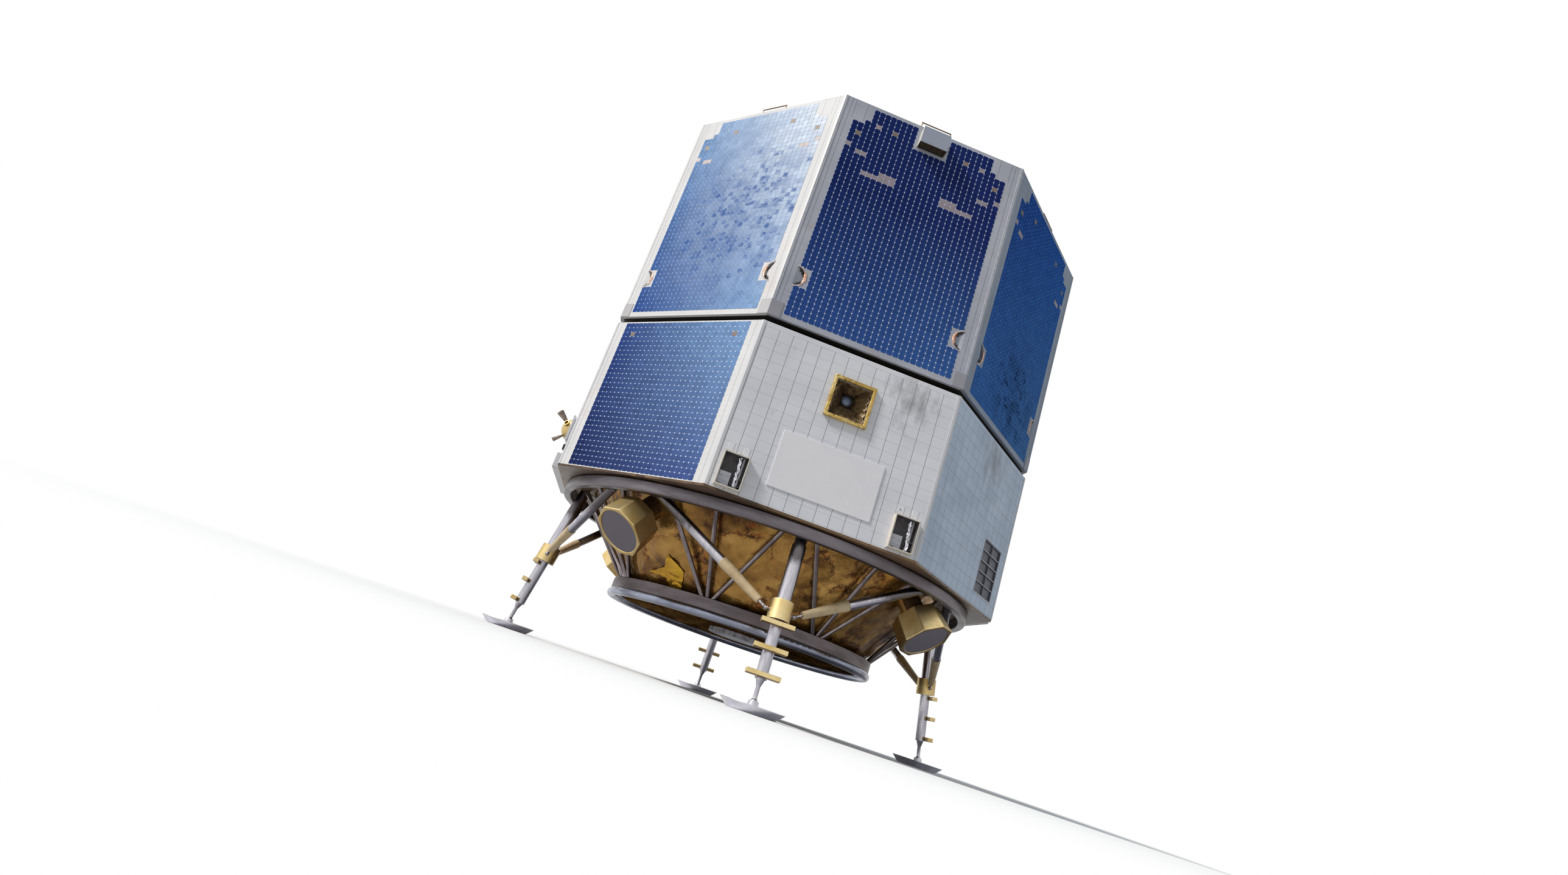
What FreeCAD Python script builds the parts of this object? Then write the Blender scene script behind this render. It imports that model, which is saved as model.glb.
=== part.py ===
import FreeCAD, Part
import os
from math import atan2, cos, degrees, pi, radians, sin

# Lunar lander: two octagonal bodies, one over the other, on four legs with
# side struts and dished footpads. Millimetres, +Z up. The origin is on the
# vertical axis at floor level, and -Y is the front, the face with the window.

# ---------------------------------------------------------------- overall
CORNER_R = 1760.0           # octagon, axis to corner
DECK_Z = 1110.0             # floor to the underside of the lower body
LOWER_H = 1128.0            # lower body, with its foil-covered deck
BODY_GAP = 48.0             # open band between the two bodies
UPPER_H = 1762.0
FOOT_R = 1606.0             # axis to the centre of each ankle ball

# ---------------------------------------------------------------- skins
PANEL_T = 25.0              # honeycomb panels on the bodies' sides
DECK_T = 15.0               # foil-covered deck under the lower body
TOP_T = 14.0                # top deck
NECK_INSET = 150.0          # neck face behind the bodies' faces
TRIM_W = 17.0               # corner trims, along each face
TRIM_PROUD = 3.0
COVER_W = 82.0              # wrap-around covers on the upper body's low corners
COVER_H = 107.0
COVER_PROUD = 4.0
BORDER_W = 97.5             # plain border outside the field of solar cells
POCKET_R = 69.0             # half-round pockets in that border
POCKET_OFFSET = 14.0        # their centres outside the edge of the cells
POCKET_Z = 320.0            # and above the upper body's bottom
POCKET_DEPTH = 20.0

# ---------------------------------------------------------------- top fittings
HOLE_R = 5.25               # lifting points in the top deck
HOLE_PCD = 1000.0
HOLE_COUNT = 8
HOLE_DEPTH = 40.0
RAIL_W = 225.0              # hand rails standing on the top deck
RAIL_H = 62.0
RAIL_R = 4.5
RAIL_SETBACK = 31.0         # from the face to the rail
SENSOR_W = 200.0            # boxes at the top of the faces over the legs
SENSOR_H = 132.0
SENSOR_D = 76.0
SENSOR_DROP = 46.0          # below the top edge
SENSOR_WALL = 7.0
LOUVRE_H = 14.0             # crate in the open underside of each box
LOUVRE_CELLS = 4
LOUVRE_BAR = 6.0

# ---------------------------------------------------------------- front face
WINDOW_W = 280.0            # outside of the square frame
WINDOW_FRAME_W = 22.0
WINDOW_PROUD = 22.0
WINDOW_Z = 817.0            # centre above the deck's underside
FUNNEL_DEPTH = 140.0        # behind the face
FUNNEL_WALL = 4.0
FUNNEL_END_W = 84.0
FUNNEL_RISE = 50.0          # its narrow end above its mouth, as the sensor looks down
LENS_R = 29.0
LENS_T = 18.0
PLATE_W = 662.0             # blank plate
PLATE_H = 362.0
PLATE_T = 6.0
PLATE_Z = 317.0
TRAY_W = 162.0              # open-fronted equipment boxes
TRAY_H = 215.0
TRAY_WALL = 9.0
TRAY_PROUD = 46.0
TRAY_MARGIN = 45.0          # box to the corner of the body
TRAY_Z = 136.0              # centre above the deck's underside
TRAY_BLOCK_W = 74.0
TRAY_BLOCK_H = 86.0
TRAY_BLOCK_D = 34.0
TRAY_ROD_R = 7.0

# ---------------------------------------------------------------- other faces
GRILLE_W = 322.0
GRILLE_H = 380.0
GRILLE_Z = 299.0
GRILLE_MARGIN = 111.0       # grille to the corner of the body
GRILLE_BAR = 9.0
GRILLE_RECESS = 12.0
GRILLE_COLS = 2
GRILLE_ROWS = 5
THRUSTER_Z = 414.0          # centre of each thruster dome above the deck's underside
THRUSTER_DOME_R = 88.0
THRUSTER_SINK = 22.0        # dome centre behind the mounting plate's face
THRUSTER_PLATE_W = 200.0
THRUSTER_PLATE_T = 12.0
THRUSTER_STAND = 100.0      # stand between the face and the mounting plate
THRUSTER_STAND_W = 150.0
THRUSTER_PORT_R = 22.0
THRUSTER_PORT_L = 16.0
THRUSTER_PORT_WALL = 5.0
THRUSTER_PORT_WAY = (1.0, -0.75, 0.35)  # as drawn on the front face
NOZZLE_WALL = 2.5
NOZZLE_BITE = 6.0           # nozzle root inside the dome
NOZZLE_FLOOR = 10.0         # solid part of the nozzle over the dome
PALLET_W = 1000.0           # shallow box along the bottom of the side faces
PALLET_H = 110.0
PALLET_D = 60.0
PALLET_Z = 66.0
BLOCK_W = 46.0              # small black block above it
BLOCK_H = 40.0
BLOCK_D = 40.0
BLOCK_RAISE = 26.0

# ---------------------------------------------------------------- underside
RING_EDGE_GAP = 35.0        # base ring inside the octagon's flats
RING_WALL = 55.0
RING_H = 80.0
BAND_R = 1012.0             # lower band, outside
BAND_WALL = 34.0
BAND_H = 78.0
BAND_DROP = 528.0           # deck underside to the top of the band
RIM_TUBE_R = 30.0
RIM_PROUD = 16.0            # rim outside the band
RIM_OVERLAP_H = 6.0         # rim tube up to the band's bottom
RIM_LIP = 34.0              # flat lip inside the rim tube, under the bottom plate
RIM_LIP_T = 8.0
FLOOR_T = 14.0              # foil-covered bottom plate
DRUM_R = 220.0
DRUM_H = 38.0
CONE_BAND_GAP = 24.0        # foil cone inside the band's top edge
CONE_LEG_GAP = 34.0         # foil cone inside the leg heads
TRUSS_R = 16.0
TRUSS_SPREAD = 39.0         # between the feet of a node's three tubes
TRUSS_TOP_IN = 96.0         # top of the truss inside the base ring
TRUSS_COUNT = 8
# where each truss node's two sloping tubes meet the deck, from the nearest
# leg's plane and from the nearest canister's plane
TRUSS_LEG_ANGLE = 3.7
TRUSS_CAN_ANGLE = 8.4

# ---------------------------------------------------------------- canisters
CAN_FRONT = 340.0           # across flats at the open end
CAN_BACK = 306.0
CAN_LENGTH = 190.0
CAN_TILT = 50.0             # below the horizontal
CAN_DECK_GAP = 96.0         # back of the canister below the deck
CAN_NECK_R = 80.0           # neck from its back into the foil cone
CAN_NECK_L = 160.0
CAN_NECK_BITE = 6.0         # start of the neck inside the canister
CAN_INSET = 260.0           # centre of the open end inside the octagon's corners
CAN_CUT_CLEAR = 0.5         # canister to the hole in the foil cone
APERTURE_R = 150.0
APERTURE_T = 10.0
APERTURE_SINK = 4.0

# ---------------------------------------------------------------- legs
LEG_TOP_GAP = 41.0          # leg head inside the base ring
HEAD_R = 38.0
HEAD_L = 112.0
UPPER_TUBE_R = 45.0
LOWER_TUBE_R = 36.0
COLLAR_R = 71.0
COLLAR_START = 470.0        # along the strut, from its top
COLLAR_L = 120.0
LOWER_TUBE_END = 928.0
BELL_L = 44.0
BELL_R = 27.0
NECK_R = 13.0
BALL_R = 22.0
BALL_Z = 62.0
CROSSBAR_STARTS = (612.0, 761.0, 911.0)
CROSSBAR_W = 205.0
CROSSBAR_H = 28.0
CROSSBAR_D = 42.0
CROSSBAR_BITE = 14.0        # how far each bar wraps the strut
FIT = 0.2                   # between pieces that are clamped together
SIDE_PIN_R = 9.0            # side strut pins on the collar
SIDE_PIN_L = 16.0
SIDE_BALL_R = 15.0
SIDE_PIN_BELOW = 65.0       # along the strut, from the collar's top
SIDE_ROD_R = 8.0
SIDE_ROD_L = 46.0
SLEEVE_R = 35.0
SLEEVE_END_R = 24.0
SLEEVE_L = 330.0
SIDE_TUBE_R = 31.0
SIDE_ANGLE = 37.0           # around the base ring, from the leg
BRACKET_W = 70.0            # blocks that take the side struts, inside the ring
BRACKET_D = 34.0

# ---------------------------------------------------------------- footpads
PAD_R = 190.0
PAD_BASE_R = 146.0
PAD_H = 45.0
PAD_T = 8.0
PAD_RECESS = 5.0
PAD_FOOT_W = 12.0           # ring that the pad stands on
BOSS_R = 36.0
BOSS_TOP_R = 29.0
CUP_CLEAR = 0.4
CUP_LIP = 6.0               # cup's edge above the ball's centre

# ---------------------------------------------------------------- worked out
EIGHTH = 45.0
HALF = EIGHTH / 2.0
APOTHEM = CORNER_R * cos(radians(HALF))
HALF_FACE = CORNER_R * sin(radians(HALF))
LOWER_TOP = DECK_Z + LOWER_H
UPPER_Z = LOWER_TOP + BODY_GAP
TOP_Z = UPPER_Z + UPPER_H
CORE_APOTHEM = APOTHEM - PANEL_T
RING_R = APOTHEM - RING_EDGE_GAP
RING_INNER = RING_R - RING_WALL
LEG_TOP_R = RING_INNER - LEG_TOP_GAP - UPPER_TUBE_R
CAN_FRONT_R = CORNER_R - CAN_INSET
BAND_TOP = DECK_Z - BAND_DROP
BAND_BOTTOM = BAND_TOP - BAND_H
FLOOR_Z = BAND_BOTTOM - FLOOR_T
TRAY_X = HALF_FACE - TRAY_MARGIN - TRAY_W / 2.0
GRILLE_X = HALF_FACE - GRILLE_MARGIN - GRILLE_W / 2.0

FACES = ("front", "front_right", "right", "back_right",
         "back", "back_left", "left", "front_left")
LEGS = ("front", "right", "back", "left")
Z = FreeCAD.Vector(0, 0, 1)
ORIGIN = FreeCAD.Vector(0, 0, 0)


def vec(x, y, z):
    return FreeCAD.Vector(x, y, z)


def box(x0, x1, y0, y1, z0, z1):
    """A box between two corners."""
    return Part.makeBox(x1 - x0, y1 - y0, z1 - z0, vec(x0, y0, z0))


def prism(points, z0, height):
    """A flat outline of (x, y) points, raised from z0."""
    corners = [vec(x, y, z0) for x, y in points]
    face = Part.Face(Part.makePolygon(corners + corners[:1]))
    return face.extrude(Z * height)


def octagon(apothem, z0, height):
    """An upright octagonal block with a face towards -Y."""
    radius = apothem / cos(radians(HALF))
    turns = [radians(HALF + EIGHTH * k) for k in range(8)]
    return prism([(radius * cos(t), radius * sin(t)) for t in turns], z0, height)


def rod(start, end, radius):
    """A round bar between two points."""
    run = end - start
    return Part.makeCylinder(radius, run.Length, start, run)


def taper(start, end, radius_0, radius_1):
    """A round bar that changes radius evenly."""
    run = end - start
    return Part.makeCone(radius_0, radius_1, run.Length, start, run)


def disc(radius, z0, height, x=0.0, y=0.0):
    """An upright cylinder."""
    return Part.makeCylinder(radius, height, vec(x, y, z0))


def hoop(outer, inner, z0, height):
    """An upright ring with square edges."""
    return disc(outer, z0, height).cut(disc(inner, z0, height))


def union(shapes):
    """Fuse pieces that overlap into one clean solid."""
    whole = shapes[0]
    for piece in shapes[1:]:
        whole = whole.fuse(piece)
    return whole.removeSplitter()


def turned(shape, degrees_about_z):
    """A copy turned about the lander's axis."""
    copy = shape.copy()
    copy.rotate(ORIGIN, Z, degrees_about_z)
    return copy


def on_face(shape, index):
    """A piece drawn on the front face, moved to face number index."""
    return turned(shape, EIGHTH * index)


def face_box(x, z, width, height, inner, outer):
    """A box on the front face: centre x, z; from inner to outer, measured outwards."""
    return box(x - width / 2.0, x + width / 2.0, -(APOTHEM + outer), -(APOTHEM + inner),
               z - height / 2.0, z + height / 2.0)


NODES = {}


def add(name, *shapes):
    """Keep one node: its solids stay apart from each other."""
    solids = [solid for shape in shapes for solid in shape.Solids]
    NODES[name] = solids


# ================================================================ bodies
def corner_point(side, lateral, depth):
    """A point near the corner on +X: lateral along a face, depth inwards."""
    normal = (cos(radians(HALF)), side * sin(radians(HALF)))
    along = (-sin(radians(HALF)), side * cos(radians(HALF)))
    return (CORNER_R + along[0] * lateral - normal[0] * depth,
            along[1] * lateral - normal[1] * depth)


def corner_strip(width, depth, proud, z0, height):
    """An angle section that wraps the corner on +X."""
    tip_out = ((APOTHEM + proud) / cos(radians(HALF)), 0.0)
    tip_in = ((APOTHEM - depth) / cos(radians(HALF)), 0.0)
    outline = [corner_point(1, width, -proud), tip_out, corner_point(-1, width, -proud),
               corner_point(-1, width, depth), tip_in, corner_point(1, width, depth)]
    return prism(outline, z0, height)


def at_corners(shape):
    """Eight copies, one at each corner of the octagon."""
    return [turned(shape, HALF + EIGHTH * k) for k in range(8)]


def side_panel(z0, height):
    """One flat side panel on the front face, between the corner trims."""
    return face_box(0.0, z0 + height / 2.0, 2.0 * (HALF_FACE - TRIM_W), height, -PANEL_T, 0.0)


def edge_pocket(side):
    """A half-round pocket that slopes in from the border to under the cells."""
    edge_x = HALF_FACE - BORDER_W + POCKET_OFFSET
    z = UPPER_Z + POCKET_Z
    bore = Part.makeCylinder(POCKET_R, POCKET_DEPTH, vec(edge_x, -APOTHEM, z), vec(0, 1, 0))
    slope = prism([(edge_x, -APOTHEM), (edge_x - POCKET_R, -APOTHEM),
                   (edge_x - POCKET_R, -APOTHEM + POCKET_DEPTH)], z - POCKET_R, 2.0 * POCKET_R)
    pocket = bore.common(slope)
    if side < 0:
        pocket = pocket.mirror(ORIGIN, vec(1, 0, 0))
    return pocket


def build_upper():
    """Upper body: core, top deck, solar panels, trims, covers and top fittings."""
    core = octagon(CORE_APOTHEM, UPPER_Z, UPPER_H - TOP_T)
    top = octagon(CORE_APOTHEM, TOP_Z - TOP_T, TOP_T)
    for k in range(HOLE_COUNT):
        turn = 2.0 * pi * (k + 0.5) / HOLE_COUNT
        hole = disc(HOLE_R, TOP_Z - HOLE_DEPTH, HOLE_DEPTH,
                    HOLE_PCD / 2.0 * cos(turn), HOLE_PCD / 2.0 * sin(turn))
        core = core.cut(hole)
        top = top.cut(hole)
    add("upper_core", core)
    add("top_deck", top)

    panel = side_panel(UPPER_Z, UPPER_H).cut(edge_pocket(1)).cut(edge_pocket(-1))
    for index, face in enumerate(FACES):
        add("upper_panel_" + face, on_face(panel, index))

    cover = corner_strip(COVER_W, 0.0, COVER_PROUD, UPPER_Z, COVER_H)
    cover = union([cover, corner_strip(TRIM_W, PANEL_T, 0.0, UPPER_Z, COVER_H)])
    trim = corner_strip(TRIM_W, PANEL_T, TRIM_PROUD, UPPER_Z + COVER_H, UPPER_H - COVER_H)
    add("upper_corner_covers", *at_corners(cover))
    add("upper_corner_trims", *at_corners(trim))

    rail_y = -(APOTHEM - RAIL_SETBACK)
    rail_z = TOP_Z + RAIL_H - RAIL_R
    post_x = RAIL_W / 2.0 - RAIL_R
    bar = rod(vec(-RAIL_W / 2.0, rail_y, rail_z), vec(RAIL_W / 2.0, rail_y, rail_z), RAIL_R)
    post_h = RAIL_H - 2.0 * RAIL_R
    posts = [disc(RAIL_R, TOP_Z, post_h, side * post_x, rail_y) for side in (-1, 1)]
    add("hand_rail_bars", *[on_face(bar, k) for k in range(8)])
    add("hand_rail_posts", *[on_face(post, k) for k in range(8) for post in posts])

    box_z = TOP_Z - SENSOR_DROP - SENSOR_H / 2.0
    shell = face_box(0.0, box_z, SENSOR_W, SENSOR_H, 0.0, SENSOR_D)
    hollow_h = LOUVRE_H + SENSOR_WALL
    low = box_z - SENSOR_H / 2.0
    shell = shell.cut(face_box(0.0, low + hollow_h / 2.0, SENSOR_W - 2.0 * SENSOR_WALL, hollow_h,
                               0.0, SENSOR_D - SENSOR_WALL))
    louvre = face_box(0.0, low + LOUVRE_H / 2.0, SENSOR_W - 2.0 * SENSOR_WALL, LOUVRE_H,
                      0.0, SENSOR_D - SENSOR_WALL)
    pitch = (SENSOR_W - 2.0 * SENSOR_WALL - LOUVRE_BAR) / LOUVRE_CELLS
    for k in range(LOUVRE_CELLS):
        x = (k + 0.5 - LOUVRE_CELLS / 2.0) * pitch
        louvre = louvre.cut(face_box(x, low + LOUVRE_H / 2.0, pitch - LOUVRE_BAR, LOUVRE_H,
                                     LOUVRE_BAR, SENSOR_D - SENSOR_WALL - LOUVRE_BAR))
    add("sensor_boxes", *[on_face(shell, 2 * k) for k in range(4)])
    add("sensor_louvres", *[on_face(louvre, 2 * k) for k in range(4)])


def funnel_shape(mouth_w, end_w):
    """The window's funnel as a solid, from the front face back to its raised narrow end."""
    loops = []
    for width, depth, rise in ((mouth_w, 0.0, 0.0), (end_w, FUNNEL_DEPTH, FUNNEL_RISE)):
        half = width / 2.0
        y = depth - APOTHEM
        z = DECK_Z + WINDOW_Z + rise
        loops.append(Part.makePolygon([vec(-half, y, z - half), vec(half, y, z - half),
                                       vec(half, y, z + half), vec(-half, y, z + half),
                                       vec(-half, y, z - half)]))
    return Part.makeLoft(loops, True, True)


def tray_solids(x):
    """An open-fronted equipment box, and the block and rod inside it."""
    z = DECK_Z + TRAY_Z
    tray = face_box(x, z, TRAY_W, TRAY_H, -PANEL_T, TRAY_PROUD)
    inside_w = TRAY_W - 2.0 * TRAY_WALL
    inside_h = TRAY_H - 2.0 * TRAY_WALL
    back = TRAY_WALL - PANEL_T
    tray = tray.cut(face_box(x, z, inside_w, inside_h, back, TRAY_PROUD))
    block_x = x - inside_w / 2.0 + TRAY_BLOCK_W / 2.0
    block_z = z - inside_h / 2.0 + TRAY_BLOCK_H / 2.0
    block = face_box(block_x, block_z, TRAY_BLOCK_W, TRAY_BLOCK_H, back, back + TRAY_BLOCK_D)
    rod_x = x + inside_w / 2.0 - 3.0 * TRAY_ROD_R
    fitting = disc(TRAY_ROD_R, z - inside_h / 2.0, inside_h, rod_x,
                   -(APOTHEM + back + 2.0 * TRAY_ROD_R))
    return tray, block, fitting


def build_lower():
    """Lower body: core, neck, eight side panels, window, plate, boxes and grille."""
    window_z = DECK_Z + WINDOW_Z
    grille_z = DECK_Z + GRILLE_Z
    body_z = DECK_Z + DECK_T
    opening = WINDOW_W - 2.0 * WINDOW_FRAME_W

    core = octagon(CORE_APOTHEM, body_z, LOWER_TOP - body_z)
    pocket_depth = FUNNEL_DEPTH + LENS_T
    core = core.cut(face_box(0.0, window_z, opening, opening, -pocket_depth, -PANEL_T))
    add("lower_core", core)
    add("neck", octagon(APOTHEM - NECK_INSET, LOWER_TOP, BODY_GAP))
    add("foil_deck", octagon(APOTHEM, DECK_Z, DECK_T))

    plain = side_panel(body_z, LOWER_TOP - body_z)
    trays = {side: tray_solids(side * TRAY_X) for side in (-1, 1)}
    front = plain.cut(face_box(0.0, window_z, opening, opening, -PANEL_T, 0.0))
    for side in (-1, 1):
        front = front.cut(face_box(side * TRAY_X, DECK_Z + TRAY_Z, TRAY_W, TRAY_H, -PANEL_T, 0.0))
    vented = plain.cut(face_box(GRILLE_X, grille_z, GRILLE_W, GRILLE_H, -PANEL_T, 0.0))
    panels = {"lower_front_panel": [(front, "front")],
              "lower_side_panels": [(plain, "right"), (plain, "back"), (plain, "left")],
              "lower_solar_panels": [(plain, "front_left"), (plain, "back_right")],
              "lower_radiator_panels": [(vented, "front_right"), (plain, "back_left")]}
    for name, places in panels.items():
        add(name, *[on_face(shape, FACES.index(face)) for shape, face in places])
    trim = corner_strip(TRIM_W, PANEL_T, TRIM_PROUD, body_z, LOWER_TOP - body_z)
    add("lower_corner_trims", *at_corners(trim))

    frame = face_box(0.0, window_z, WINDOW_W, WINDOW_W, 0.0, WINDOW_PROUD)
    add("window_frame", frame.cut(face_box(0.0, window_z, opening, opening, 0.0, WINDOW_PROUD)))
    outer = funnel_shape(opening, FUNNEL_END_W)
    inner = funnel_shape(opening - 2.0 * FUNNEL_WALL, FUNNEL_END_W - 2.0 * FUNNEL_WALL)
    add("window_funnel", outer.cut(inner))
    lens_back = vec(0, FUNNEL_DEPTH - APOTHEM, window_z + FUNNEL_RISE)
    add("window_lens", Part.makeCylinder(LENS_R, LENS_T, lens_back, vec(0, 1, 0)))
    add("blank_plate", face_box(0.0, DECK_Z + PLATE_Z, PLATE_W, PLATE_H, 0.0, PLATE_T))
    add("equipment_boxes", *[trays[side][0] for side in (-1, 1)])
    add("equipment_fittings", *[piece for side in (-1, 1) for piece in trays[side][1:]])

    grille = face_box(GRILLE_X, grille_z, GRILLE_W, GRILLE_H, -PANEL_T, 0.0)
    cell_w = (GRILLE_W - GRILLE_BAR) / GRILLE_COLS
    cell_h = (GRILLE_H - GRILLE_BAR) / GRILLE_ROWS
    for column in range(GRILLE_COLS):
        for row in range(GRILLE_ROWS):
            x = GRILLE_X - GRILLE_W / 2.0 + GRILLE_BAR / 2.0 + (column + 0.5) * cell_w
            z = grille_z - GRILLE_H / 2.0 + GRILLE_BAR / 2.0 + (row + 0.5) * cell_h
            grille = grille.cut(face_box(x, z, cell_w - GRILLE_BAR, cell_h - GRILLE_BAR,
                                         -GRILLE_RECESS, 0.0))
    add("radiator_grille", on_face(grille, 1))


# ================================================================ thrusters
# upper and lower nozzle: direction as drawn on the front face, length over the dome, throat
# radius and mouth radius
NOZZLES = (
    ((0.05, -0.80, 0.60), 92.0, 12.0, 28.0),
    ((0.05, -0.70, -0.71), 78.0, 8.0, 17.0),
)


def build_thrusters():
    """A domed thruster pod on a stand on each side face, and the boxes at the face's foot."""
    z = DECK_Z + THRUSTER_Z
    plate_front = THRUSTER_STAND + THRUSTER_PLATE_T
    stand = face_box(0.0, z, THRUSTER_STAND_W, THRUSTER_STAND_W, 0.0, THRUSTER_STAND)
    plate = face_box(0.0, z, THRUSTER_PLATE_W, THRUSTER_PLATE_W, THRUSTER_STAND, plate_front)
    centre = vec(0, -(APOTHEM + plate_front - THRUSTER_SINK), z)
    ball = Part.makeSphere(THRUSTER_DOME_R, centre)
    front = face_box(0.0, z, 4.0 * THRUSTER_DOME_R, 4.0 * THRUSTER_DOME_R,
                     plate_front, plate_front + 4.0 * THRUSTER_DOME_R)
    dome = ball.common(front)
    port_way = vec(*THRUSTER_PORT_WAY)
    port_way.normalize()
    port_end = centre + port_way * (THRUSTER_DOME_R + THRUSTER_PORT_L)
    port = rod(centre + port_way * (THRUSTER_DOME_R / 2.0), port_end, THRUSTER_PORT_R)
    port = port.common(front)
    port_bore = rod(centre + port_way * THRUSTER_DOME_R, port_end + port_way,
                    THRUSTER_PORT_R - THRUSTER_PORT_WALL)
    pod = union([stand, plate, dome, port]).cut(port_bore)

    nozzles = []
    for way, length, throat, mouth in NOZZLES:
        direction = vec(*way)
        direction.normalize()
        root = centre + direction * (THRUSTER_DOME_R - NOZZLE_BITE)
        tip = centre + direction * (THRUSTER_DOME_R + length)
        bell = taper(root, tip, throat, mouth).cut(ball)
        hollow = taper(centre + direction * (THRUSTER_DOME_R + NOZZLE_FLOOR), tip,
                       throat - NOZZLE_WALL, mouth - NOZZLE_WALL)
        nozzles.append(bell.cut(hollow))

    pallet = face_box(0.0, DECK_Z + PALLET_Z, PALLET_W, PALLET_H, 0.0, PALLET_D)
    block_z = DECK_Z + PALLET_Z + PALLET_H / 2.0 + BLOCK_RAISE + BLOCK_H / 2.0
    block = face_box(PALLET_W / 2.0, block_z, BLOCK_W, BLOCK_H, 0.0, BLOCK_D)
    pieces = {"thruster_pods": [pod], "thruster_nozzles": nozzles, "side_pallets": [pallet],
              "side_blocks": [block]}
    for name, shapes in pieces.items():
        left = [on_face(shape, FACES.index("left")) for shape in shapes]
        add(name, *left, *[shape.mirror(ORIGIN, vec(1, 0, 0)) for shape in left])


# ================================================================ underside
def canister_axis():
    """Front centre and outward direction of the canister in the front leg's plane."""
    way = vec(0, -cos(radians(CAN_TILT)), -sin(radians(CAN_TILT)))
    rise = CAN_LENGTH * sin(radians(CAN_TILT)) + CAN_BACK / 2.0 * cos(radians(CAN_TILT))
    front = vec(0, -CAN_FRONT_R, DECK_Z - CAN_DECK_GAP - rise)
    return front, way


def canister_shape(clearance):
    """An octagonal canister, narrower at the back, with a round neck behind it."""
    front, way = canister_axis()
    loops = []
    for flats, back in ((CAN_FRONT + 2.0 * clearance, 0.0),
                        (CAN_BACK + 2.0 * clearance, CAN_LENGTH + clearance)):
        radius = flats / 2.0 / cos(radians(HALF))
        centre = front - way * back
        up = vec(0, -sin(radians(CAN_TILT)), cos(radians(CAN_TILT)))
        points = []
        for k in range(8):
            turn = radians(HALF + EIGHTH * k)
            points.append(centre + vec(1, 0, 0) * (radius * cos(turn)) + up * (radius * sin(turn)))
        loops.append(Part.makePolygon(points + points[:1]))
    neck = rod(front - way * (CAN_LENGTH - CAN_NECK_BITE), front - way * (CAN_LENGTH + CAN_NECK_L),
               CAN_NECK_R + clearance)
    return union([Part.makeLoft(loops, True, True), neck])


def build_underside():
    """Base ring, foil cone, tube truss, lower band and rim, bottom plate and canisters."""
    ring = hoop(RING_R, RING_INNER, DECK_Z - RING_H, RING_H)
    add("base_ring", ring)
    add("lower_band", hoop(BAND_R, BAND_R - BAND_WALL, BAND_BOTTOM, BAND_H))

    tube_r = BAND_R + RIM_PROUD - RIM_TUBE_R
    tube_z = BAND_BOTTOM + RIM_OVERLAP_H - RIM_TUBE_R
    tube = Part.makeTorus(tube_r, RIM_TUBE_R, vec(0, 0, tube_z))
    lip = hoop(tube_r, tube_r - RIM_TUBE_R - RIM_LIP, FLOOR_Z - RIM_LIP_T, RIM_LIP_T)
    plate = disc(tube_r - RIM_TUBE_R, FLOOR_Z, FLOOR_T)
    rim = tube.cut(disc(BAND_R + RIM_PROUD, BAND_BOTTOM, RIM_TUBE_R))
    add("rim_tube", union([rim, lip]))
    add("bottom_plate", plate)
    add("bottom_drum", disc(DRUM_R, FLOOR_Z - DRUM_H, DRUM_H))

    can = canister_shape(0.0)
    front, way = canister_axis()
    sink = rod(front - way * (APERTURE_SINK + APERTURE_T), front + way, APERTURE_R)
    aperture = rod(front - way * (APERTURE_SINK + APERTURE_T), front - way * APERTURE_SINK,
                   APERTURE_R)
    can = can.cut(sink)
    diagonals = [EIGHTH + 90.0 * k for k in range(4)]
    add("canisters", *[turned(can, angle) for angle in diagonals])
    add("canister_apertures", *[turned(aperture, angle) for angle in diagonals])

    top_r = LEG_TOP_R - HEAD_R - CONE_LEG_GAP
    band_r = BAND_R - BAND_WALL - CONE_BAND_GAP
    low_r = band_r - (top_r - band_r) * BAND_H / BAND_DROP
    cone = taper(vec(0, 0, BAND_BOTTOM), vec(0, 0, DECK_Z), low_r, top_r)
    hole = canister_shape(CAN_CUT_CLEAR)
    for angle in diagonals:
        cone = cone.cut(turned(hole, angle))
    add("foil_cone", cone)

    between = disc(2.0 * CORNER_R, BAND_TOP, BAND_DROP)
    reach = RING_INNER - TRUSS_TOP_IN
    tubes = []
    for k in range(TRUSS_COUNT):
        # the leg is on one side of this node, and the canister on the other
        leg_side = -1.0 if k % 2 == 0 else 1.0
        ends = ((0.0, 0.0), (leg_side, HALF - TRUSS_LEG_ANGLE), (-leg_side, HALF - TRUSS_CAN_ANGLE))
        for side, turn in ends:
            start = vec(side * TRUSS_SPREAD, BAND_WALL / 2.0 - BAND_R, BAND_TOP)
            angle = radians(side * turn)
            end = vec(reach * sin(angle), -reach * cos(angle), DECK_Z)
            spare = (end - start) * (2.0 * TRUSS_R / BAND_DROP)
            tube = rod(start - spare, end + spare, TRUSS_R).common(between)
            tubes.append(turned(tube, HALF + EIGHTH * k))
    add("truss", *tubes)


# ================================================================ legs
def leg_line():
    """Top of the front leg's strut, and the unit vector down it."""
    top = vec(0, -LEG_TOP_R, DECK_Z)
    way = vec(0, -FOOT_R, BALL_Z) - top
    length = way.Length
    way.normalize()
    return top, way, length


def crossbar(top, way, start):
    """A flat bar across the outer side of the lower strut."""
    outer = LOWER_TUBE_R + CROSSBAR_D - CROSSBAR_BITE
    bar = box(-CROSSBAR_W / 2.0, CROSSBAR_W / 2.0, -outer, -outer + CROSSBAR_D,
              -CROSSBAR_H / 2.0, CROSSBAR_H / 2.0)
    bar = bar.cut(disc(LOWER_TUBE_R + FIT, -CROSSBAR_H, 2.0 * CROSSBAR_H))
    lean = degrees(atan2(-way.y, -way.z))
    bar.rotate(ORIGIN, vec(1, 0, 0), -lean)
    bar.translate(top + way * start)
    return bar


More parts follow.
